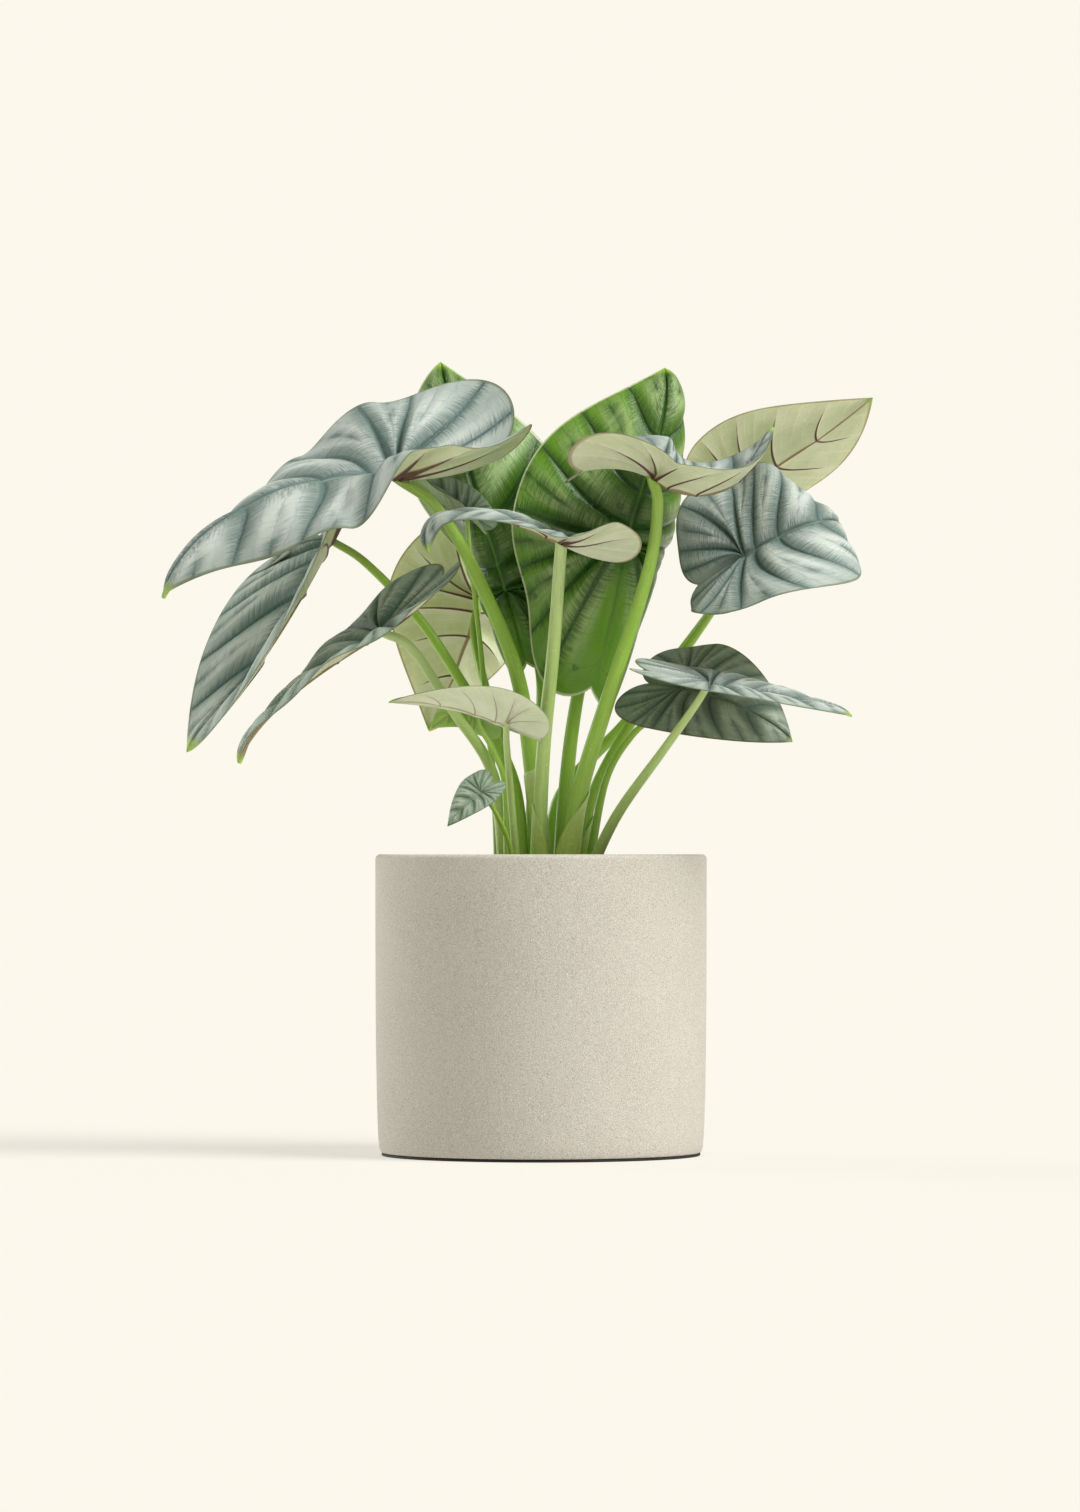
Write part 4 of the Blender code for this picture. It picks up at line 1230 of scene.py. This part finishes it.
# Each stalk: where it leaves the soil (x, y), its radius there and under the blade, and the points that
# it passes on the way up. `seat` is where its top stands on a blade whose own stalk point is folded
# away: the side vein, the share of the way to the margin, and the half (1 left, -1 right).
STALKS = {
    "upper_left": dict(
        base=(1, 0),
        radii=(4.8, 2.6),
        through=((-4, -2, 190), (-12, -4, 240), (-30, -8, 285), (-51, -12, 322)),
    ),
    "hanging_left": dict(
        base=(-9.5, -5),
        radii=(3.6, 1.9),
        through=((-12, 2, 178), (-20, 9, 202), (-36, 14, 230), (-60, 24, 267), (-88, 36, 297)),
    ),
    "slanting_left": dict(
        base=(-18, 3), radii=(3.2, 2.2), through=((-24, 0, 190), (-44, -14, 222), (-64, -27, 252))
    ),
    "middle": dict(
        base=(-1.5, -12), radii=(3.9, 3.0), through=((1, -16, 200), (6, -28, 250), (9, -40, 290))
    ),
    "upper_right": dict(
        base=(13.5, -14),
        radii=(4.8, 2.7),
        through=((19, -16, 180), (34, -24, 230), (53, -38, 290), (57.5, -46, 322)),
    ),
    "far_right": dict(
        base=(4, 20),
        radii=(3.4, 2.0),
        through=((10, 28, 180), (43, 44, 217), (69, 50, 250), (94, 46, 286), (103, 38, 318)),
    ),
    "broad_right": dict(
        base=(20, 9), radii=(3.2, 1.8), through=((26, 14, 180), (49, 26, 222), (76, 30, 258), (96, 8, 288))
    ),
    "low_right": dict(
        base=(25, -10), radii=(3.1, 1.7), through=((38, -20, 170), (60, -38, 201), (75, -46, 222))
    ),
    "shaded_right": dict(
        base=(24, 1), radii=(2.4, 1.3), through=((32, 2, 186), (45, 3, 209), (60, 5, 222))
    ),
    "back_left": dict(
        base=(-15, 18), radii=(3.0, 2.0), through=((-17, 24, 195), (-27, 36, 230), (-34, 54, 262))
    ),
    "low_left": dict(base=(-12, -16), radii=(2.2, 1.5), through=((-15, -24, 180), (-17, -36, 205))),
    "low_green": dict(
        base=(-17, -8), radii=(1.8, 1.2), through=((-18, -9, 184), (-24, -8, 202), (-30, -7, 213))
    ),
    "baby": dict(base=(-14, -25), radii=(1.6, 0.9), through=((-16, -28, 156), (-22, -34, 170))),
    "green_left": dict(
        base=(-6, 12),
        seat=(2, 0.07, -1),
        radii=(3.6, 2.2),
        through=((-4, 15, 178), (-1, 19, 205), (0, 23, 240), (-8, 21, 267)),
    ),
    "green_right": dict(
        base=(10, 8),
        seat=(2, 0.05, 1),
        radii=(4.2, 2.4),
        through=((12, 9, 178), (16, 11, 215), (22, 12, 245), (34, 9, 282)),
    ),
    "folded_young": dict(
        base=(-22, 12),
        radii=(1.6, 1.1),
        through=((-24, 18, 190), (-27, 21, 215), (-30, 18, 250), (-36, 6, 304)),
    ),
}
FOOT_DEPTH = 6.0  # how far under the soil's level the visible stalk starts
HOLE_CLEAR_HEIGHT = 5.0
TOP_OVERRUN = 4.0  # how far a stalk is drawn past its seat before it is cut off along the blade
TOP_DEPTH = 0.3  # how far under the blade's middle the cut lies
TOP_SPAN = 12.0  # how far from the seat the cut reaches
STEEPEST_CUT = 0.35
SPAN_POINTS = 10
PETIOLE_SIDES = 24
PALE_STALKS = ("low_right", "low_left", "slanting_left", "middle")
LINE_SHADE = 0.72
FLECK_SHADE = 1.3
STALK_RELIEF = 0.15


def smooth_path(points, per_span):
    """Points on a smooth curve through the given ones."""
    ends = [2 * points[0] - points[1]] + list(points) + [2 * points[-1] - points[-2]]
    path = []
    for a, b, c, d in zip(ends, ends[1:], ends[2:], ends[3:]):
        for k in range(per_span):
            t = k / per_span
            bend = (2 * a - 5 * b + 4 * c - d) * t**2 + (3 * b - a - 3 * c + d) * t**3
            path.append(0.5 * (2 * b + (c - a) * t + bend))
    return path + [points[-1]]


def petiole_seat(name):
    """Where the stalk's top stands in the middle of the blade, and the way the blade faces there."""
    vein, reach, side = STALKS[name].get("seat", (0, 0, 1))
    under, normal = blade_surface(LEAVES[name], np.array([vein]), np.array([reach]), side)
    return under[0], normal[0]


def petiole_route(name):
    """Points up the middle of the stalk, and the share of its length at each."""
    stalk = STALKS[name]
    seat, _ = petiole_seat(name)
    x, y = stalk["base"]
    low = np.array((x, y, SOIL_LEVEL - FOOT_DEPTH))
    out = np.array((x, y, SOIL_LEVEL + HOLE_CLEAR_HEIGHT))
    way = [np.array(p, float) for p in stalk["through"]]
    route = smooth_path([low, out] + way + [seat], SPAN_POINTS)
    ahead = route[-1] - route[-2]
    route.append(seat + TOP_OVERRUN * ahead / np.linalg.norm(ahead))
    lengths = np.cumsum([0.0] + [float(np.linalg.norm(b - a)) for a, b in zip(route, route[1:])])
    return np.array(route), lengths / lengths[-1]


def petiole_line(name):
    """A mesh line up the middle of the stalk, with its radius and the share of its length at each point."""
    route, shares = petiole_route(name)
    foot, top = STALKS[name]["radii"]
    mesh = bpy.data.meshes.new(name)
    mesh.from_pydata(route * MM, [(i, i + 1) for i in range(len(route) - 1)], [])
    add_attribute(mesh, "petiole_radius", "FLOAT", (foot + (top - foot) * shares) * MM)
    add_attribute(mesh, "petiole_share", "FLOAT", shares)
    return mesh


def petiole_tree():
    """Sweeps a round section along a line whose points carry their radius."""
    tree, given, result = new_group(
        "petiole",
        "GeometryNodeTree",
        {"Line": "Geometry", "Sides": PETIOLE_SIDES, "Skin": "Material"},
        {"Stalk": "Geometry"},
    )
    curve = wire(tree, "GeometryNodeMeshToCurve", {"Mesh": given["Line"]})
    inputs = {"Name": "petiole_radius"}
    radius = wire(tree, "GeometryNodeInputNamedAttribute", inputs, "Attribute", data_type="FLOAT")
    inputs = {"Resolution": given["Sides"], "Radius": 1.0}
    ring = wire(tree, "GeometryNodeCurvePrimitiveCircle", inputs, "Curve")
    around = wire(tree, "GeometryNodeSplineParameter", output="Factor")
    inputs = {"Geometry": ring, "Name": "petiole_turn", "Value": around}
    marked = wire(tree, "GeometryNodeStoreNamedAttribute", inputs, data_type="FLOAT", domain="POINT")
    inputs = {"Curve": curve, "Profile Curve": marked, "Scale": radius, "Fill Caps": True}
    swept = wire(tree, "GeometryNodeCurveToMesh", inputs)
    end_shape(smoothed(swept), given["Skin"], result)
    return tree


def petiole_skin(name, foot, middle, top):
    made, tree, shader = new_material(name, roughness=0.38, specular=0.45, soft=0.2)
    share, turn = (
        wire(tree, "ShaderNodeAttribute", None, "Fac", attribute_name=label)
        for label in ("petiole_share", "petiole_turn")
    )
    angle = turn * tau
    spot = vector_of(tree, angle.sent("COSINE") * 3.0, angle.sent("SINE") * 3.0, share * 6.0)
    lines = clouds(spot, 2.2, detail=3)
    flecks = clouds(place_on(tree), 420.0, detail=2)
    colour = painted(
        tree,
        foot,
        (ramp(share, 0.02, 0.35), middle),
        (ramp(share, 0.6, 1.0), top),
        (ramp(lines, 0.4, 0.7, 0.0, 0.45), tuple(LINE_SHADE * c for c in middle)),
        (ramp(flecks, 0.58, 0.72, 0.0, 0.3), tuple(min(1.0, FLECK_SHADE * c) for c in middle)),
    )
    dress(shader, lines + flecks * 0.4, STALK_RELIEF, colour)
    return made


def cut_top(name, mesh):
    """Cuts the stalk's top off along the blade's underside, so that it meets the blade all round."""
    seat, normal = petiole_seat(name)
    route, _ = petiole_route(name)
    ahead = route[-1] - route[-2]
    ahead /= np.linalg.norm(ahead)
    ahead, normal, seat = Vector(ahead), Vector(normal), Vector(seat)
    for vertex in mesh.vertices:
        place = vertex.co / MM
        over = (place - seat).dot(normal) + TOP_DEPTH
        if over > 0 and (place - seat).length < TOP_SPAN:
            vertex.co = (place - over / max(ahead.dot(normal), STEEPEST_CUT) * ahead) * MM


petiole = petiole_tree()
green_stalk = petiole_skin("yellow_green_stalk", (0.34, 0.56, 0.09), (0.33, 0.56, 0.07), (0.4, 0.6, 0.12))
pale_stalk = petiole_skin("pale_green_stalk", (0.40, 0.6, 0.13), (0.46, 0.64, 0.2), (0.56, 0.7, 0.32))
for name in STALKS:
    skin = pale_stalk if name in PALE_STALKS else green_stalk
    stalk = grown("petiole_" + name, petiole_line(name), petiole, Sides=PETIOLE_SIDES, Skin=skin)
    cut_top(name, stalk.data)
    belongs(stalk, "leaf_stalk", "stalk_" + name)


# The sheaths: the foot of a main stalk widens into two thin wings that wrap round its inner side and end in
# a low V; the left stem has a whole collar instead. They are one with the stalk and the same green.

# Each sheath: the height it reaches, how far round the stalk each wing goes at the foot (degrees), the
# way its back faces (degrees from the viewer towards the right), how far the wings stand off at the foot
# (millimetres), and how blunt its top is.
SHEATHS = {
    "upper_right": dict(height=183, half_turn=165, facing=80, flare=4.5, bluntness=2),
    "middle": dict(height=176, half_turn=160, facing=-80, flare=3.0, bluntness=2),
    "upper_left": dict(height=193, half_turn=178, facing=20, flare=0.5, bluntness=16),
    "slanting_left": dict(height=174, half_turn=150, facing=-90, flare=2.5, bluntness=2),
    "broad_right": dict(height=172, half_turn=150, facing=90, flare=2.5, bluntness=2),
}
SHEATH_ROWS = 40
SHEATH_COLUMNS = 20
SHEATH_GAP = 0.15
SHEATH_THICKNESS = 0.35
WING_CURVE = 0.8
NARROWEST = 0.02


def sheath(name, shape, skin):
    """A thin sheet with two faces and a rim that wraps round the foot of that stalk."""
    route, shares = petiole_route(name)
    foot, top = STALKS[name]["radii"]
    heights = np.linspace(route[0][2], shape["height"], SHEATH_ROWS)
    middle = np.stack([np.interp(heights, route[:, 2], route[:, k]) for k in range(3)], -1)
    radius = foot + (top - foot) * np.interp(heights, route[:, 2], shares)
    facing = radians(shape["facing"])
    front = Vector((sin(facing), -cos(facing), 0))
    points = {}
    for i in range(SHEATH_ROWS):
        rise = i / (SHEATH_ROWS - 1)
        ahead = Vector(middle[min(i + 1, SHEATH_ROWS - 1)] - middle[max(i - 1, 0)]).normalized()
        back = (front - front.dot(ahead) * ahead).normalized()
        aside = ahead.cross(back)
        wing = radians(shape["half_turn"]) * (1 - rise ** shape["bluntness"]) ** WING_CURVE + NARROWEST
        for j in range(SHEATH_COLUMNS + 1):
            turn = 2 * j / SHEATH_COLUMNS - 1
            out = cos(wing * turn) * back + sin(wing * turn) * aside
            stand_off = shape["flare"] * abs(turn) ** 3 * (1 - rise) ** 0.7
            near = float(radius[i]) + SHEATH_GAP + stand_off
            for layer, depth in enumerate((near + SHEATH_THICKNESS, near)):
                points[layer, i, j] = Vector(middle[i]) + depth * out
    number = {key: k for k, key in enumerate(points)}
    faces = []
    for i in range(SHEATH_ROWS - 1):
        for j in range(SHEATH_COLUMNS):
            ring = ((i, j), (i, j + 1), (i + 1, j + 1), (i + 1, j))
            faces.append([number[0, a, b] for a, b in ring])
            faces.append([number[1, a, b] for a, b in reversed(ring)])
    last = SHEATH_ROWS - 1
    rim = [(0, j) for j in range(SHEATH_COLUMNS)]
    rim += [(i, SHEATH_COLUMNS) for i in range(last)]
    rim += [(last, j) for j in range(SHEATH_COLUMNS, 0, -1)]
    rim += [(i, 0) for i in range(last, 0, -1)]
    for a, b in zip(rim, rim[1:] + rim[:1]):
        faces.append([number[0, *b], number[0, *a], number[1, *a], number[1, *b]])
    mesh = bpy.data.meshes.new("sheath_" + name)
    mesh.from_pydata([p * MM for p in points.values()], [], faces)
    add_attribute(mesh, "petiole_share", "FLOAT", [i / SHEATH_ROWS for _, i, _ in points])
    add_attribute(mesh, "petiole_turn", "FLOAT", [j / SHEATH_COLUMNS for _, _, j in points])
    mesh.polygons.foreach_set("use_smooth", [True] * len(mesh.polygons))
    mesh.materials.append(skin)
    belongs(shown("sheath_" + name, mesh), "leaf_stalk")


sheath_skin = petiole_skin("thin_sheath", (0.40, 0.6, 0.12), (0.44, 0.64, 0.13), (0.62, 0.76, 0.32))
for name, shape in SHEATHS.items():
    sheath(name, shape, sheath_skin)
